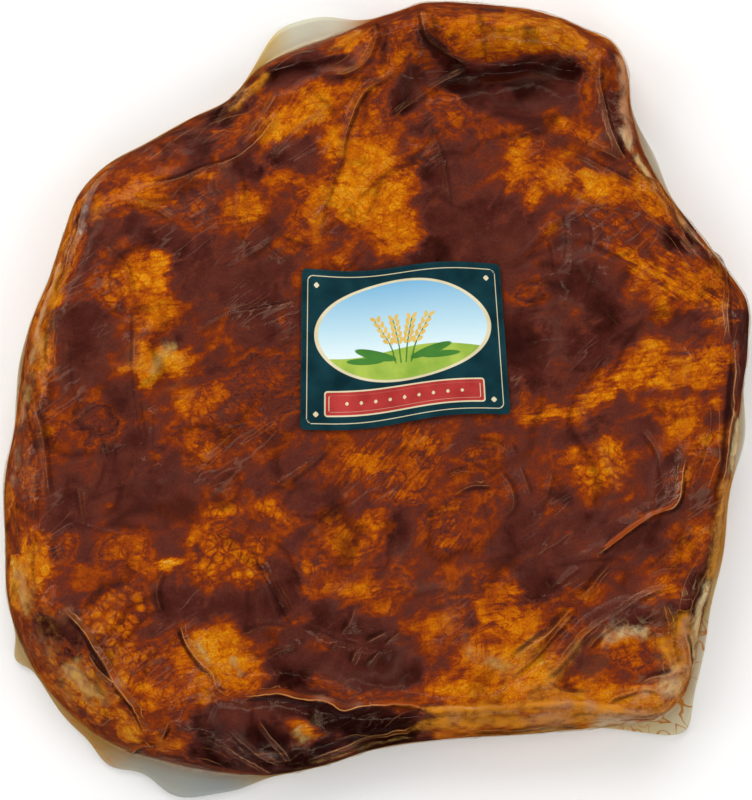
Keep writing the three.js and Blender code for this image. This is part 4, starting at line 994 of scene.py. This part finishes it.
# Boiled pork, smoked and rubbed with paprika: a dark, moist red-brown coat with lacy edges, orange where it
# is thin, and golden fat with fine orange-red threads, in places as soft globules.
def makeMeatMaterial():
    look = {
        "globule": 4.6,  # spacing of the fat globules, mm
        "globuleBend": (6, 2.4),  # how they are pushed out of line: over what length and how far, mm
        "lace": 9,  # size of the coarsest tongues at the rub's edge, mm
        "thread": 9,  # the same for the threads that branch, mm
        "fibre": 1.5,  # width of the muscle's fibres, mm
        "cloud": 5,  # soft unevenness, mm
        "grain": 0.8,  # grains of the rub, mm
        "grainHeight": 0.4,  # mm
        "bareFrom": 0.46,  # where the rub ends, from its last trace
        "bareTo": 0.58,
        "thinnedFrom": 0.02,
        "thinnedTo": 0.42,
        "halo": 0.49,  # tone of the thin rub round the fat
        "ior": 1.4,
        "ramp": [
            (0.0, "#2a0906"), (0.12, "#4c201a"), (0.26, "#612f27"), (0.37, "#6d3020"), (0.45, "#823412"),
            (0.53, "#98420c"), (0.62, "#ac5307"), (0.73, "#c16803"), (0.85, "#d18106"), (0.96, "#da981e"),
            (1.0, "#d8ae60"),
        ],
    }
    material, tree, place, values = newMaterial(
        "boiledPaprikaPork", ("fat", "level", "coat", "globules", *baconPlan["fibreRuns"]))

    # fibres of muscle and fat run in three directions
    fibres = 0.0
    for key, angle in baconPlan["fibreRuns"].items():
        fibre = uneven(tree, place, look["fibre"], 2, 0.6, 0, angle, 6)
        fibres = weighted(tree, fibres, [(fibre, values[key])])
    lace = uneven(tree, place, look["lace"], 6, 0.6, 0.6, 28, 1.7)
    soft = uneven(tree, place, look["cloud"], 3, 0.65)
    reach = weighted(tree, values["fat"], [(lace, 1.8), (fibres, 2.0), (soft, 0.45)])
    bare = addNode(tree, "MapRange", {
        "interpolation_type": "SMOOTHSTEP", "Value": reach, "From Min": look["bareFrom"],
        "From Max": look["bareTo"]})
    thinned = addNode(tree, "MapRange", {
        "Value": reach, "From Min": look["thinnedFrom"], "From Max": look["thinnedTo"]})
    golden = addNode(tree, "MapRange", {
        "Value": reach, "From Min": 0.45, "From Max": 1.0, "To Min": -0.25, "To Max": 0.01})

    # threads: round the globules, and longer ones that branch over the rest of the fat
    length, far = look["globuleBend"]
    warped = addNode(tree, "TexNoise", {"Vector": place, "Scale": 1 / (length * mm), "Detail": 0})
    warped = addNode(tree, "VectorMath", {
        "operation": "MULTIPLY_ADD", 0: warped.outputs["Color"], 1: (far * mm,) * 3, 2: place})
    gap = addNode(tree, "TexVoronoi", {
        "feature": "DISTANCE_TO_EDGE", "Vector": warped, "Scale": 1 / (look["globule"] * mm)})
    away = addNode(tree, "TexVoronoi", {"Vector": warped, "Scale": 1 / (look["globule"] * mm)})
    edge = addNode(tree, "MapRange", {"Value": gap, "From Min": 0.14, "From Max": 0.0})
    between = addNode(tree, "MapRange", {"Value": away, "From Min": 0.42, "From Max": 0.72})
    around = addNode(tree, "Math", {"operation": "MAXIMUM", 0: edge, 1: between})
    around = addNode(tree, "Math", {"operation": "MULTIPLY", 0: around, 1: values["globules"]})
    branched = lineAt(tree, uneven(tree, place, look["thread"], 2, 0.6, 1.0, 24, 1.8), 0.0, 0.035)
    branched = weighted(tree, 0.0, [(branched, 0.55)])
    threads = addNode(tree, "Math", {"operation": "MAXIMUM", 0: around, 1: branched})

    fatTone = weighted(tree, values["level"], [(soft, 0.4), (fibres, 0.6), (threads, -0.3), (golden, 1.0)])
    coatTone = weighted(tree, values["coat"], [(lace, 0.22), (soft, 0.22)])
    haloTone = weighted(tree, look["halo"], [(soft, 0.4), (fibres, 0.5), (lace, 0.25)])
    part = weighted(tree, haloTone, [(coatTone, -1.0)])
    tone = weighted(tree, coatTone, [(part, thinned)])
    part = weighted(tree, fatTone, [(tone, -1.0)])
    tone = weighted(tree, tone, [(part, bare)])

    ramp = addNode(tree, "ValToRGB", {"Fac": tone})
    fillRamp(ramp, look["ramp"])
    fine = uneven(tree, place, look["grain"], 2)
    shade = weighted(tree, 1.0, [(fine, weighted(tree, 0.8, [(bare, 0.6)]))])
    colour = addNode(tree, "VectorMath", {"operation": "SCALE", 0: ramp, "Scale": shade})

    bump = addNode(tree, "Bump", {"Strength": 0.5, "Distance": look["grainHeight"] * mm, "Height": fine})
    surface = addNode(tree, "BsdfPrincipled", {
        "Base Color": colour, "Roughness": weighted(tree, 0.5, [(soft, 0.5)]), "IOR": look["ior"],
        "Specular IOR Level": 0.12, "Normal": bump})
    addNode(tree, "OutputMaterial", {"Surface": surface})
    return material


basePoints, movedPoints, baconFaces, baconDown = baconPoints()
bacon = newPiece("bacon", movedPoints, baconFaces, fatField(basePoints, baconDown), makeMeatMaterial())
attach(bacon, "root")
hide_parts("sealed_bag")
print("bacon: slab made,", len(baconFaces), "faces")


filmPlan = {
    "cells": 236,  # of the grid on top, from side to side
    "rings": 22,
    "troughShare": 0.5,
    "clearWalls": 0.4,  # how much clearer the walls are
    "spareBelow": 12,  # mm above the floor, the most that spare film reaches
    "spareMilk": 0.82,  # how milky it is
    "spareStrength": 1.6,  # of its own colour beside the veils
    "root": 3,  # mm beside the slab where it is darker
    "drawnWithin": 26,  # mm from the rim, where the film is drawn round
    "turnsPerMm": 0.21,
    # where fat ran between the films: bearing, half-angle and strength
    "oilyCorner": (-41, 9, 1),
    "oilySides": [(-40, 16, 1), (-135, 9, 0.8)],
}


# How milky the film is at each point, and its colour there: its stains and the painted sheen
def filmVeil(points, down, bearing):
    x, y = points[:, 0], points[:, 1]
    strength, colour, total = np.zeros(len(x)), np.zeros((len(x), 3)), np.full(len(x), 1e-6)
    wobble = pattern("veilEdge", points)
    for width, much, stainAndSheen, path in veils:
        near, away, _, share = alongPath(path, x, y, 3 * width)
        part = much * faded(share, 0.15) * np.exp(-((away / width + wobble[near] * 0.5) ** 2))
        part = np.clip(part, 0, 1)
        part *= 0.75 + 0.5 * wobble[near]
        strength[near] = 1 - (1 - strength[near]) * (1 - np.clip(part, 0, 1))
        colour[near] += part[:, None] * linear(stainAndSheenColours[stainAndSheen])
        total[near] += part
    strength *= 1 - filmPlan["clearWalls"] * ease((down - 0.45) / 0.2)
    outward = np.hypot(x, y) - outlineRadius(bearing)
    spare = ease((down - 0.93) / 0.07) * (points[:, 2] < filmPlan["spareBelow"]) * ease((outward + 8) / 6)
    bearings = [at for at, _ in spareColours]
    channels = np.array([linear(code) for _, code in spareColours]).T
    spareColour = np.stack([easedRound(list(zip(bearings, c)), bearing) for c in channels], 1)
    root = np.exp(-((outward / filmPlan["root"]) ** 2))[:, None]
    spareColour = spareColour * (1 - 0.5 * root) + linear(stainAndSheenColours["olive"]) * 0.5 * root
    colour += (spare * filmPlan["spareStrength"])[:, None] * spareColour
    total += spare * filmPlan["spareStrength"]
    strength = np.maximum(strength, spare * np.clip(filmPlan["spareMilk"] + 0.12 * wobble, 0, 1))
    return np.clip(strength, 0, 1), colour / total[:, None]


def filmPoints():
    points, faces, down = slabSkin(filmPlan["cells"], filmPlan["rings"], filmLower)
    normals = vertexNormals(points, faces)
    x, y = points[:, 0], points[:, 1]
    bearing = bearingOf(x, y)
    rise, trough, edge, ink = foldField(x, y, points)
    ridges, shade, gathers = wrinkleField(points, bearing, np.minimum(down, 1))
    clear = 1 - ease(insideLabel(x, y) / 2.5 + 0.6) * (points[:, 2] > slab["flangeRoot"] * 2)
    lively = np.where(down > 1, 0, 1 - ease((down - 0.86) / 0.14))
    push = meatRelief(points) + rise - filmPlan["troughShare"] * trough
    push += wrinkles["height"] * ridges + wrinkles["gatherHeight"] * gathers
    push = np.where(clear < 1, np.minimum(push, 0.1) * (1 - clear) + push * clear, push)
    moved = points + normals * (lively * push)[:, None]
    strength, stainAndSheen = filmVeil(points, down, bearing)
    inward = np.clip(outlineRadius(bearing) - np.hypot(x, y), -4, 45)
    upper = clear * (down <= 1)
    # drawn lines run round near the rim, gathered in places
    drawn = ease((filmPlan["drawnWithin"] - inward) / 14) * ease(pattern("drawnPatch", points) * 3 + 0.3)
    middle, half, much = filmPlan["oilyCorner"]
    corner = much * np.exp(-(((bearing - middle) / half) ** 2)) * (1 - ease((inward - 6) / 16))
    stained = 0
    for middle, half, much in filmPlan["oilySides"]:
        stained = stained + much * np.exp(-(((bearing - middle) / half) ** 2))
    return moved, faces, {
        "oily": np.clip(1.5 * strength * stained + corner, 0, 1),
        "hairy": ease(pattern("hairPatch", points) * 2.4 - 0.35) * upper,
        # crease: positive on the wrinkles' crests for a painted highlight, negative beside them for painted
        # shade
        "crease": (ridges - shade) * clear * lively,
        "foldEdge": edge,
        "foldInk": ink * upper,
        "veil": strength * (0.3 + 0.7 * clear),
        "stainAndSheen": stainAndSheen,
        "turns": inward * filmPlan["turnsPerMm"] + pattern("turnDrift", points) * 1.3,
        "drawn": drawn * upper,
        "broken": ease(pattern("foldBreak", points) * 2.2 + 0.6) * ease((1.2 - ink) / 0.3),
    }


# Vacuum bag film, cast polyamide and polyethylene: clear, glossy and thin, with a pale edge (a painted
# highlight on the doubled film) and a painted shadow along its folds, painted shade and highlights on its
# creases, and a milky haze where it is doubled or lies off the meat.
def makeFilmMaterial():
    look = {
        "ior": 1.5,
        "roughness": 0.13,
        "mostMirror": 0.09,
        "edge": 0.3,  # half-width of the pale line along a fold, a painted highlight, mm
        "crinkle": 4,  # mm
        "crinkleHeight": 0.5,  # mm
        "cloud": 8,  # size of the gaps in the haze, mm
        "run": 9,  # size of the pattern of fat that ran between the films, mm
        "hair": 4,  # the same for the finest wrinkles, mm
        "mostMilk": 0.88,
        "mostHaze": 0.93,
        "film": "#fbf6ef",
        "gloss": "#ffe2c6",
        "runTone": "#c07a20",
        "slackTone": "#983e0a",
        # hairTone and foldTone colour painted highlights, shadow is the colour of the painted shadow and
        # shade
        "hairTone": "#a47e6a",
        "foldTone": "#d28c4c",
        "lipTone": "#a0541c",
        "shadow": "#2a0b07",
    }
    material, tree, place, values = newMaterial("clearVacuumFilm", (
        "foldEdge", "foldInk", "veil", "turns", "drawn", "broken", "oily", "hairy", "crease"))
    # colour of the stains and of the painted sheen
    stainAndSheen = addNode(tree, "Attribute", {"attribute_name": "stainAndSheen"}).outputs["Color"]
    wobble = uneven(tree, place, 5, 2, 0.6)
    edge = weighted(tree, values["foldEdge"], [(wobble, 0.45)])
    ink = values["foldInk"]
    raised = addNode(tree, "MapRange", {"Value": ink, "From Min": 0.05, "From Max": 0.9})
    lip = addNode(tree, "MapRange", {"Value": ink, "From Min": 0.85, "From Max": 1.2})
    sunk = addNode(tree, "MapRange", {"Value": ink, "From Min": -0.05, "From Max": -0.8})

    # a raised fold has a pale edge and a pale line beside it (painted highlights on the doubled film), a
    # stained slack side and a painted shadow at its foot, and a sunk one a dark line of painted shade with a
    # painted highlight beside it
    beside = lineAt(tree, weighted(tree, edge, [(wobble, 3.0)]), -1.9, 0.3)
    beside = weighted(tree, 0.0, [(beside, values["broken"])])
    paleLine = lineAt(tree, edge, 0.0, look["edge"])
    paleLine = addNode(tree, "Math", {"operation": "MAXIMUM", 0: paleLine, 1: beside})
    pale = weighted(tree, 0.0, [(paleLine, raised)])
    pale = weighted(tree, pale, [(lineAt(tree, edge, 1.2, 0.3), weighted(tree, 0.0, [(sunk, 0.5)]))])
    slack = weighted(tree, 0.0, [(lineAt(tree, edge, -1.1, 1.3), raised)])
    ribbon = weighted(tree, 0.0, [(lineAt(tree, edge, -0.5, 1.2), lip)])
    dark = weighted(tree, 0.0, [(lineAt(tree, edge, 1.25, 1.1), weighted(tree, raised, [(lip, -0.45)]))])
    dark = weighted(tree, dark, [(lineAt(tree, edge, -0.1, 0.9), weighted(tree, 0.0, [(sunk, 0.6)]))])
    # painted shade beside the soft creases
    hollow = addNode(tree, "MapRange", {"Value": values["crease"], "From Min": -0.15, "From Max": -0.95})
    dark = weighted(tree, dark, [(hollow, 0.4)])
    turns = weighted(tree, values["turns"], [(wobble, 0.12)])
    turns = addNode(tree, "Math", {"operation": "FRACT", 0: turns})
    drawn = weighted(tree, 0.0, [(lineAt(tree, turns, 0.5, 0.05), values["drawn"])])

    crest = weighted(tree, 0.0, [(lineAt(tree, values["foldEdge"], 0.0, 1.6), raised)])
    height = weighted(tree, 0.0, [(crest, 0.7), (uneven(tree, place, look["crinkle"], 1, 0.55, 0.8), 0.5)])
    bump = addNode(tree, "Bump", {"Strength": 0.6, "Distance": look["crinkleHeight"] * mm, "Height": height})
    clear = addNode(tree, "BsdfTransparent", {"Color": rgba(look["film"])})
    gloss = addNode(tree, "BsdfPrincipled", {
        "Base Color": rgba(look["gloss"]), "Metallic": 1.0, "Roughness": look["roughness"], "Normal": bump})
    mirror = addNode(tree, "Fresnel", {"IOR": look["ior"], "Normal": bump})
    mirror = addNode(tree, "Math", {"operation": "MINIMUM", 0: mirror, 1: look["mostMirror"]})
    skin = addNode(tree, "MixShader", {0: mirror, 1: clear, 2: gloss})

    # painted highlights of fine wrinkles: pale lines where the film is drawn over the coat
    hairs = lineAt(tree, uneven(tree, place, look["hair"], 1, 0.5, 0.4, 36, 6), 0.0, 0.04)
    hairs = weighted(tree, 0.0, [(hairs, values["hairy"])])
    # soft creases all over: a painted highlight on the crest, while the painted shade on one side goes into
    # the dark above
    crests = addNode(tree, "MapRange", {
        "Value": values["crease"], "From Min": 0.25, "From Max": 1.0, "To Max": 0.6})
    hairs = addNode(tree, "Math", {"operation": "MAXIMUM", 0: hairs, 1: crests})
    # the haze is patchy where it is neither thin nor thick
    patchy = weighted(tree, 0.0, [(values["veil"], weighted(tree, 6.0, [(values["veil"], -6.0)]))])
    milk = weighted(tree, values["veil"], [(patchy, uneven(tree, place, look["cloud"], 4, 0.65))])
    milk = addNode(tree, "MapRange", {
        "interpolation_type": "SMOOTHSTEP", "Value": milk, "From Min": 0.12, "From Max": 0.75,
        "To Max": look["mostMilk"]})
    # threads of paprika fat that ran between the films
    runs = lineAt(tree, uneven(tree, place, look["run"], 1, 0.5, 0.9), 0.0, 0.022)
    runs = weighted(tree, 0.0, [(runs, values["oily"])])
    lines = weighted(tree, 0.0, [
        (pale, 0.62), (slack, 0.3), (ribbon, 0.8), (drawn, 0.22), (runs, 0.7), (hairs, 0.16)])
    haze = addNode(tree, "Math", {"operation": "MAXIMUM", 0: milk, 1: lines})
    haze = addNode(tree, "Math", {"operation": "MINIMUM", 0: haze, 1: look["mostHaze"]})

    # the haze's colour, with each kind of line laid over the last, the pale ones as painted highlights
    slackShare = weighted(tree, 0.0, [(slack, 0.8), (ribbon, 1.0)])
    # bright: the pale fold lines, painted highlights on the doubled film, and the drawn lines round the rim
    bright = addNode(tree, "Math", {"operation": "ADD", "use_clamp": True, 0: pale, 1: drawn})
    lineTone = addNode(tree, "Mix", {
        "data_type": "RGBA", 0: lip, 6: rgba(look["foldTone"]), 7: rgba(look["lipTone"])}).outputs[2]
    tone = stainAndSheen
    for share, over in (
        (runs, rgba(look["runTone"])), (slackShare, rgba(look["slackTone"])), (hairs, rgba(look["hairTone"])),
        (bright, lineTone),
    ):
        tone = addNode(tree, "Mix", {"data_type": "RGBA", 0: share, 6: tone, 7: over}).outputs[2]
    milky = addNode(tree, "BsdfPrincipled", {
        "Base Color": tone, "Roughness": 0.3, "IOR": look["ior"], "Normal": bump})
    film = addNode(tree, "MixShader", {0: haze, 1: skin, 2: milky})
    shadow = addNode(tree, "BsdfPrincipled", {"Base Color": rgba(look["shadow"]), "Roughness": 0.4})
    film = addNode(tree, "MixShader", {0: weighted(tree, 0.0, [(dark, 0.85)]), 1: film, 2: shadow})
    addNode(tree, "OutputMaterial", {"Surface": film})
    return material


filmMoved, filmFaces, filmValues = filmPoints()
film = newPiece("film", filmMoved, filmFaces, filmValues, makeFilmMaterial())
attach(film, "root")
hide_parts("sealed_bag")
print("bacon: film made,", len(filmFaces), "faces")


def labelPoint(u, v):
    a, b, c, d = (np.array(p) for p in labelPlan["corners"])
    x, y = ((1 - v) * ((1 - u) * a[k] + u * b[k]) + v * ((1 - u) * d[k] + u * c[k]) for k in (0, 1))
    return x, y + labelPlan["wave"] * np.sin(2 * np.pi * (u * 1.15 + 0.42)) * (0.4 + 0.6 * np.abs(2 * v - 1))


# The print, in mm from the label's middle: boxes and ovals by middle, half-sizes and radius of the corners
printPlan = {
    "frame": (0, 0, 38, 28, 2),
    "panel": (0, 5.6, 34, 19),
    "ring": (0, 5.6, 34.5, 19.4),
    "band": (0, -20.6, 31, 4.6, 1),
    "bandLine": (0, -20.6, 29.4, 3, 0.5),
    "cornerDots": (34.5, 24.5),
    "dotSpacing": 5.6,  # on the band
    "ears": ((-30, -3), (-10, -1), (10, 1), (30, 3)),  # lean in degrees and foot
    "leaves": ((11, -3.2, 8.5, 1.7, 16), (15, -5.2, 7.5, 1.3, 2)),  # on the right, mirrored to the left
}


# Each part of the print as a distance from its edge, negative inside: ears of wheat on an oval, a band below
def labelPrint(u, v):
    x, y = (u - 0.5) * labelPlan["width"], (v - 0.5) * labelPlan["height"]

    def box(cx, cy, hx, hy, corner):
        qx, qy = np.abs(x - cx) - hx + corner, np.abs(y - cy) - hy + corner
        return np.hypot(np.maximum(qx, 0), np.maximum(qy, 0)) + np.minimum(np.maximum(qx, qy), 0) - corner

    def oval(cx, cy, rx, ry, turn=0):
        px, py = turned(x - cx, y - cy, turn)
        return (np.hypot(px / rx, py / ry) - 1) * min(rx, ry)

    def diamond(cx, cy, half):
        return (np.abs(x - cx) + np.abs(y - cy)) / 1.4 - half

    def stroke(path, width):
        near, away, _, _ = nearPath(smoothCurve(path, 8), x, y, 40)
        out = np.full_like(x, 9.0)
        out[near] = away - width
        return out

    panel, band = oval(*printPlan["panel"]), box(*printPlan["band"])
    cream = [np.abs(box(*printPlan["frame"])) - 0.2, np.abs(oval(*printPlan["ring"])) - 0.45]
    cream += [np.abs(band) - 0.3, np.abs(box(*printPlan["bandLine"])) - 0.14]
    across, upward = printPlan["cornerDots"]
    cream += [diamond(cx, cy, 0.9) for cx, cy in product((-across, across), (-upward, upward))]
    cream += [diamond(k * printPlan["dotSpacing"], printPlan["band"][1], 0.62) for k in range(-4, 5)]
    leaves, grains = [], []
    for lean, foot in printPlan["ears"]:
        s = np.sin(np.radians(lean))
        leaves.append(stroke([[foot, -7], [foot + 4 * s, 0], [foot + 16 * s, 10]], 0.3))
        for n in range(5):
            t = 0.42 + 0.135 * n
            cx, cy = foot + 16 * s * t**1.3, -7 + 17 * t + 1.5
            grains += [oval(cx + side * 1.15, cy, 0.72, 1.45, -lean - side * 30) for side in (-1, 1)]
    for side, (cx, cy, rx, ry, turn) in product((-1, 1), printPlan["leaves"]):
        leaves.append(oval(side * cx, cy, rx, ry, side * turn))
    return {
        "printCream": np.minimum.reduce(cream),
        "printPanel": panel,
        "printMeadow": np.maximum(panel, y + 2.2 - 1.6 * np.sin(x * 0.09 + 0.6)),
        "printBand": band,
        "printLeaf": np.minimum(np.minimum.reduce(leaves), 9.0),
        "printGrain": np.minimum(np.minimum.reduce(grains), 9.0),
    }


def labelSheet():
    columns, rows = labelPlan["cells"]
    u, v = np.meshgrid(np.linspace(0, 1, columns + 1), np.linspace(0, 1, rows + 1))
    u, v = u.ravel(), v.ravel()
    # the corners are rounded
    fromSide, fromEnd = np.minimum(u, 1 - u) * labelPlan["width"], np.minimum(v, 1 - v) * labelPlan["height"]
    tuck = np.maximum(0, labelPlan["corner"] - fromSide) * np.maximum(0, labelPlan["corner"] - fromEnd) * 0.28
    uu = u + np.sign(0.5 - u) * tuck / labelPlan["width"]
    vv = v + np.sign(0.5 - v) * tuck / labelPlan["height"]
    x, y = labelPoint(uu, vv)
    flatPoints = np.stack([x, y, np.zeros_like(x)], 1)
    rim = np.minimum(fromSide, fromEnd)
    ripple = labelPlan["ripple"] * pattern("labelRipple", flatPoints)
    ripple += labelPlan["lift"] * ease((6 - rim) / 6) * (pattern("labelLift", flatPoints) + 0.45)
    low = surfaceHeight(x, y) + labelPlan["gap"] - 0.12 + np.maximum(ripple, -0.05)
    sheets = [np.stack([x, y, low + labelPlan["thickness"]], 1), np.stack([x, y, low], 1)]
    n = np.arange((columns + 1) * (rows + 1)).reshape(rows + 1, columns + 1)
    top = np.stack([n[:-1, :-1], n[:-1, 1:], n[1:, 1:], n[1:, :-1]], -1).reshape(-1, 4)
    edge = np.concatenate([n[0, :-1], n[:-1, -1], n[-1, :0:-1], n[:0:-1, 0]])
    under = top[:, ::-1] + n.size
    sides = np.stack([edge, edge + n.size, np.roll(edge, -1) + n.size, np.roll(edge, -1)], 1)
    values = {k: np.concatenate([d, d]) for k, d in labelPrint(u, v).items()}
    values["upward"] = np.concatenate([v, v])
    return np.vstack(sheets), np.vstack([top, under, sides]).tolist(), values


# Coated paper label, offset printed and satin varnished: even ink with crisp edges and a soft sheen.
def makeLabelMaterial():
    look = {
        "mottle": 9,  # size of the uneven patches of ink, mm
        "grain": 0.6,  # of the paper, mm
        "grainHeight": 0.1,  # mm
        "ior": 1.47,
        "inkEdge": 0.07,  # half-width of the edge of a printed shape, mm
    }
    material, tree, place, values = newMaterial("printedLabelPaper", (
        "printCream", "printPanel", "printMeadow", "printBand", "printLeaf", "printGrain", "upward"))
    mottle = addNode(tree, "TexNoise", {"Scale": 1 / (look["mottle"] * mm), "Detail": 3, "Vector": place})

    # the inks from the ground up: what they depend on, their colours, and the shape they fill
    inks = [
        (mottle, [(0.3, "#06282f"), (0.7, "#0d3a42")], None),
        (values["upward"], [(0.45, "#dcecee"), (0.62, "#b7d8e4"), (0.9, "#78b0d2")], "printPanel"),
        (mottle, [(0.35, "#86a83a"), (0.65, "#a9bf4c")], "printMeadow"),
        (mottle, [(0.35, "#3a7429"), (0.65, "#468232")], "printLeaf"),
        (mottle, [(0.35, "#d2aa4e"), (0.65, "#dfbc64")], "printGrain"),
        (mottle, [(0.35, "#a32a29"), (0.65, "#bb3a36")], "printBand"),
        (mottle, [(0.35, "#d2c49e"), (0.65, "#dfd3b0")], "printCream"),
    ]
    ink = None
    for by, stops, shape in inks:
        ramp = addNode(tree, "ValToRGB", {"Fac": by})
        fillRamp(ramp, stops)
        if shape is None:
            ink = ramp
            continue
        share = addNode(tree, "MapRange", {
            "Value": values[shape], "From Min": look["inkEdge"], "From Max": -look["inkEdge"]})
        ink = addNode(tree, "Mix", {"data_type": "RGBA", 0: share, 6: ink, 7: ramp}).outputs[2]
    grain = uneven(tree, place, look["grain"], 2)
    bump = addNode(tree, "Bump", {"Strength": 0.08, "Distance": look["grainHeight"] * mm, "Height": grain})
    roughness = addNode(tree, "MapRange", {"Value": mottle, "To Min": 0.3, "To Max": 0.45})
    paper = addNode(tree, "BsdfPrincipled", {
        "Base Color": ink, "Roughness": roughness, "IOR": look["ior"], "Normal": bump})
    addNode(tree, "OutputMaterial", {"Surface": paper})
    return material


sheetPoints, sheetFaces, sheetValues = labelSheet()
labelPiece = newPiece("label_sheet", sheetPoints, sheetFaces, sheetValues, makeLabelMaterial())
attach(labelPiece, "root")
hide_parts("label")
print("bacon: label made")


def makeFloor():
    material, tree, place, _ = newMaterial("whitePaperSweep")
    cloud = addNode(tree, "TexNoise", {"Vector": place, "Scale": 4.0, "Detail": 2})
    tint = addNode(tree, "ValToRGB", {"Fac": cloud})
    fillRamp(tint, [(0.3, "#f6f5f3"), (0.7, "#faf9f7")])
    surface = addNode(tree, "BsdfPrincipled", {
        "Base Color": tint, "Roughness": 0.9, "Specular IOR Level": 0.1})
    addNode(tree, "OutputMaterial", {"Surface": surface})
    mesh = bpy.data.meshes.new("floor")
    half = 3  # metres
    corners = [(-half, -half, 0), (half, -half, 0), (half, half, 0), (-half, half, 0)]
    mesh.from_pydata(corners, [], [(0, 1, 2, 3)])
    mesh.materials.append(material)
    floor = bpy.data.objects.new("floor", mesh)
    floor.visible_glossy = False  # the film's sides would mirror it as a white haze
    bpy.context.scene.collection.objects.link(floor)


# A soft box lights the scene without showing in the film, and a strip is mirrored there as thin highlights
def studioLight(name, place, size, watts, mirrored):
    data = bpy.data.lights.new(name, "AREA")
    data.shape, data.size, data.size_y, data.energy = "RECTANGLE", *size, watts
    lamp = bpy.data.objects.new(name, data)
    lamp.location = place
    lamp.rotation_euler = (-Vector(place)).to_track_quat("-Z", "Y").to_euler()
    lamp.visible_glossy = mirrored
    bpy.context.scene.collection.objects.link(lamp)


makeFloor()
world = bpy.data.worlds.new("studio")
world.use_nodes = True
world.node_tree.nodes["Background"].inputs["Color"].default_value = rgba("#f4f5f6")
world.node_tree.nodes["Background"].inputs["Strength"].default_value = 0.42
world.cycles_visibility.glossy = False
bpy.context.scene.world = world
studioLight("topBox", (-0.2, 1.25, 1.25), (1.6, 1.0), 17, False)
studioLight("leftBox", (-1.4, 0.2, 1.1), (1.0, 1.4), 8, False)
studioLight("rightBox", (1.4, 0.0, 1.1), (1.0, 1.4), 7, False)
studioLight("nearBox", (0.2, -1.4, 1.1), (1.6, 1.0), 8, False)
studioLight("topStrip", (-0.15, 1.0, 1.3), (1.5, 0.16), 0.7, True)
studioLight("sheenBox", (-0.75, 0.85, 1.0), (1.2, 0.5), 1.2, True)
studioLight("leftStrip", (-1.3, 0.2, 0.9), (0.14, 1.2), 0.9, True)
studioLight("rightStrip", (1.3, 0.3, 0.9), (0.14, 1.2), 0.9, True)
studioLight("nearStrip", (0.0, -1.5, 0.8), (1.3, 0.14), 0.8, True)

camera = {
    "height": photo["camera"] * mm,
    "imageHeight": 800,
    "sensor": 36.0,
}
view = bpy.data.cameras.new("camera")
span = photo["scale"] * camera["imageHeight"] * mm  # metres of floor that the picture's height takes in
view.sensor_fit = "VERTICAL"
view.sensor_height = camera["sensor"]
view.lens = camera["sensor"] * camera["height"] / span
cameraObject = bpy.data.objects.new("camera", view)
cameraObject.location = (0, 0, camera["height"])
bpy.context.scene.collection.objects.link(cameraObject)
bpy.context.scene.camera = cameraObject
bpy.context.scene.view_settings.view_transform = "Standard"
print("bacon: floor, lights and camera placed")
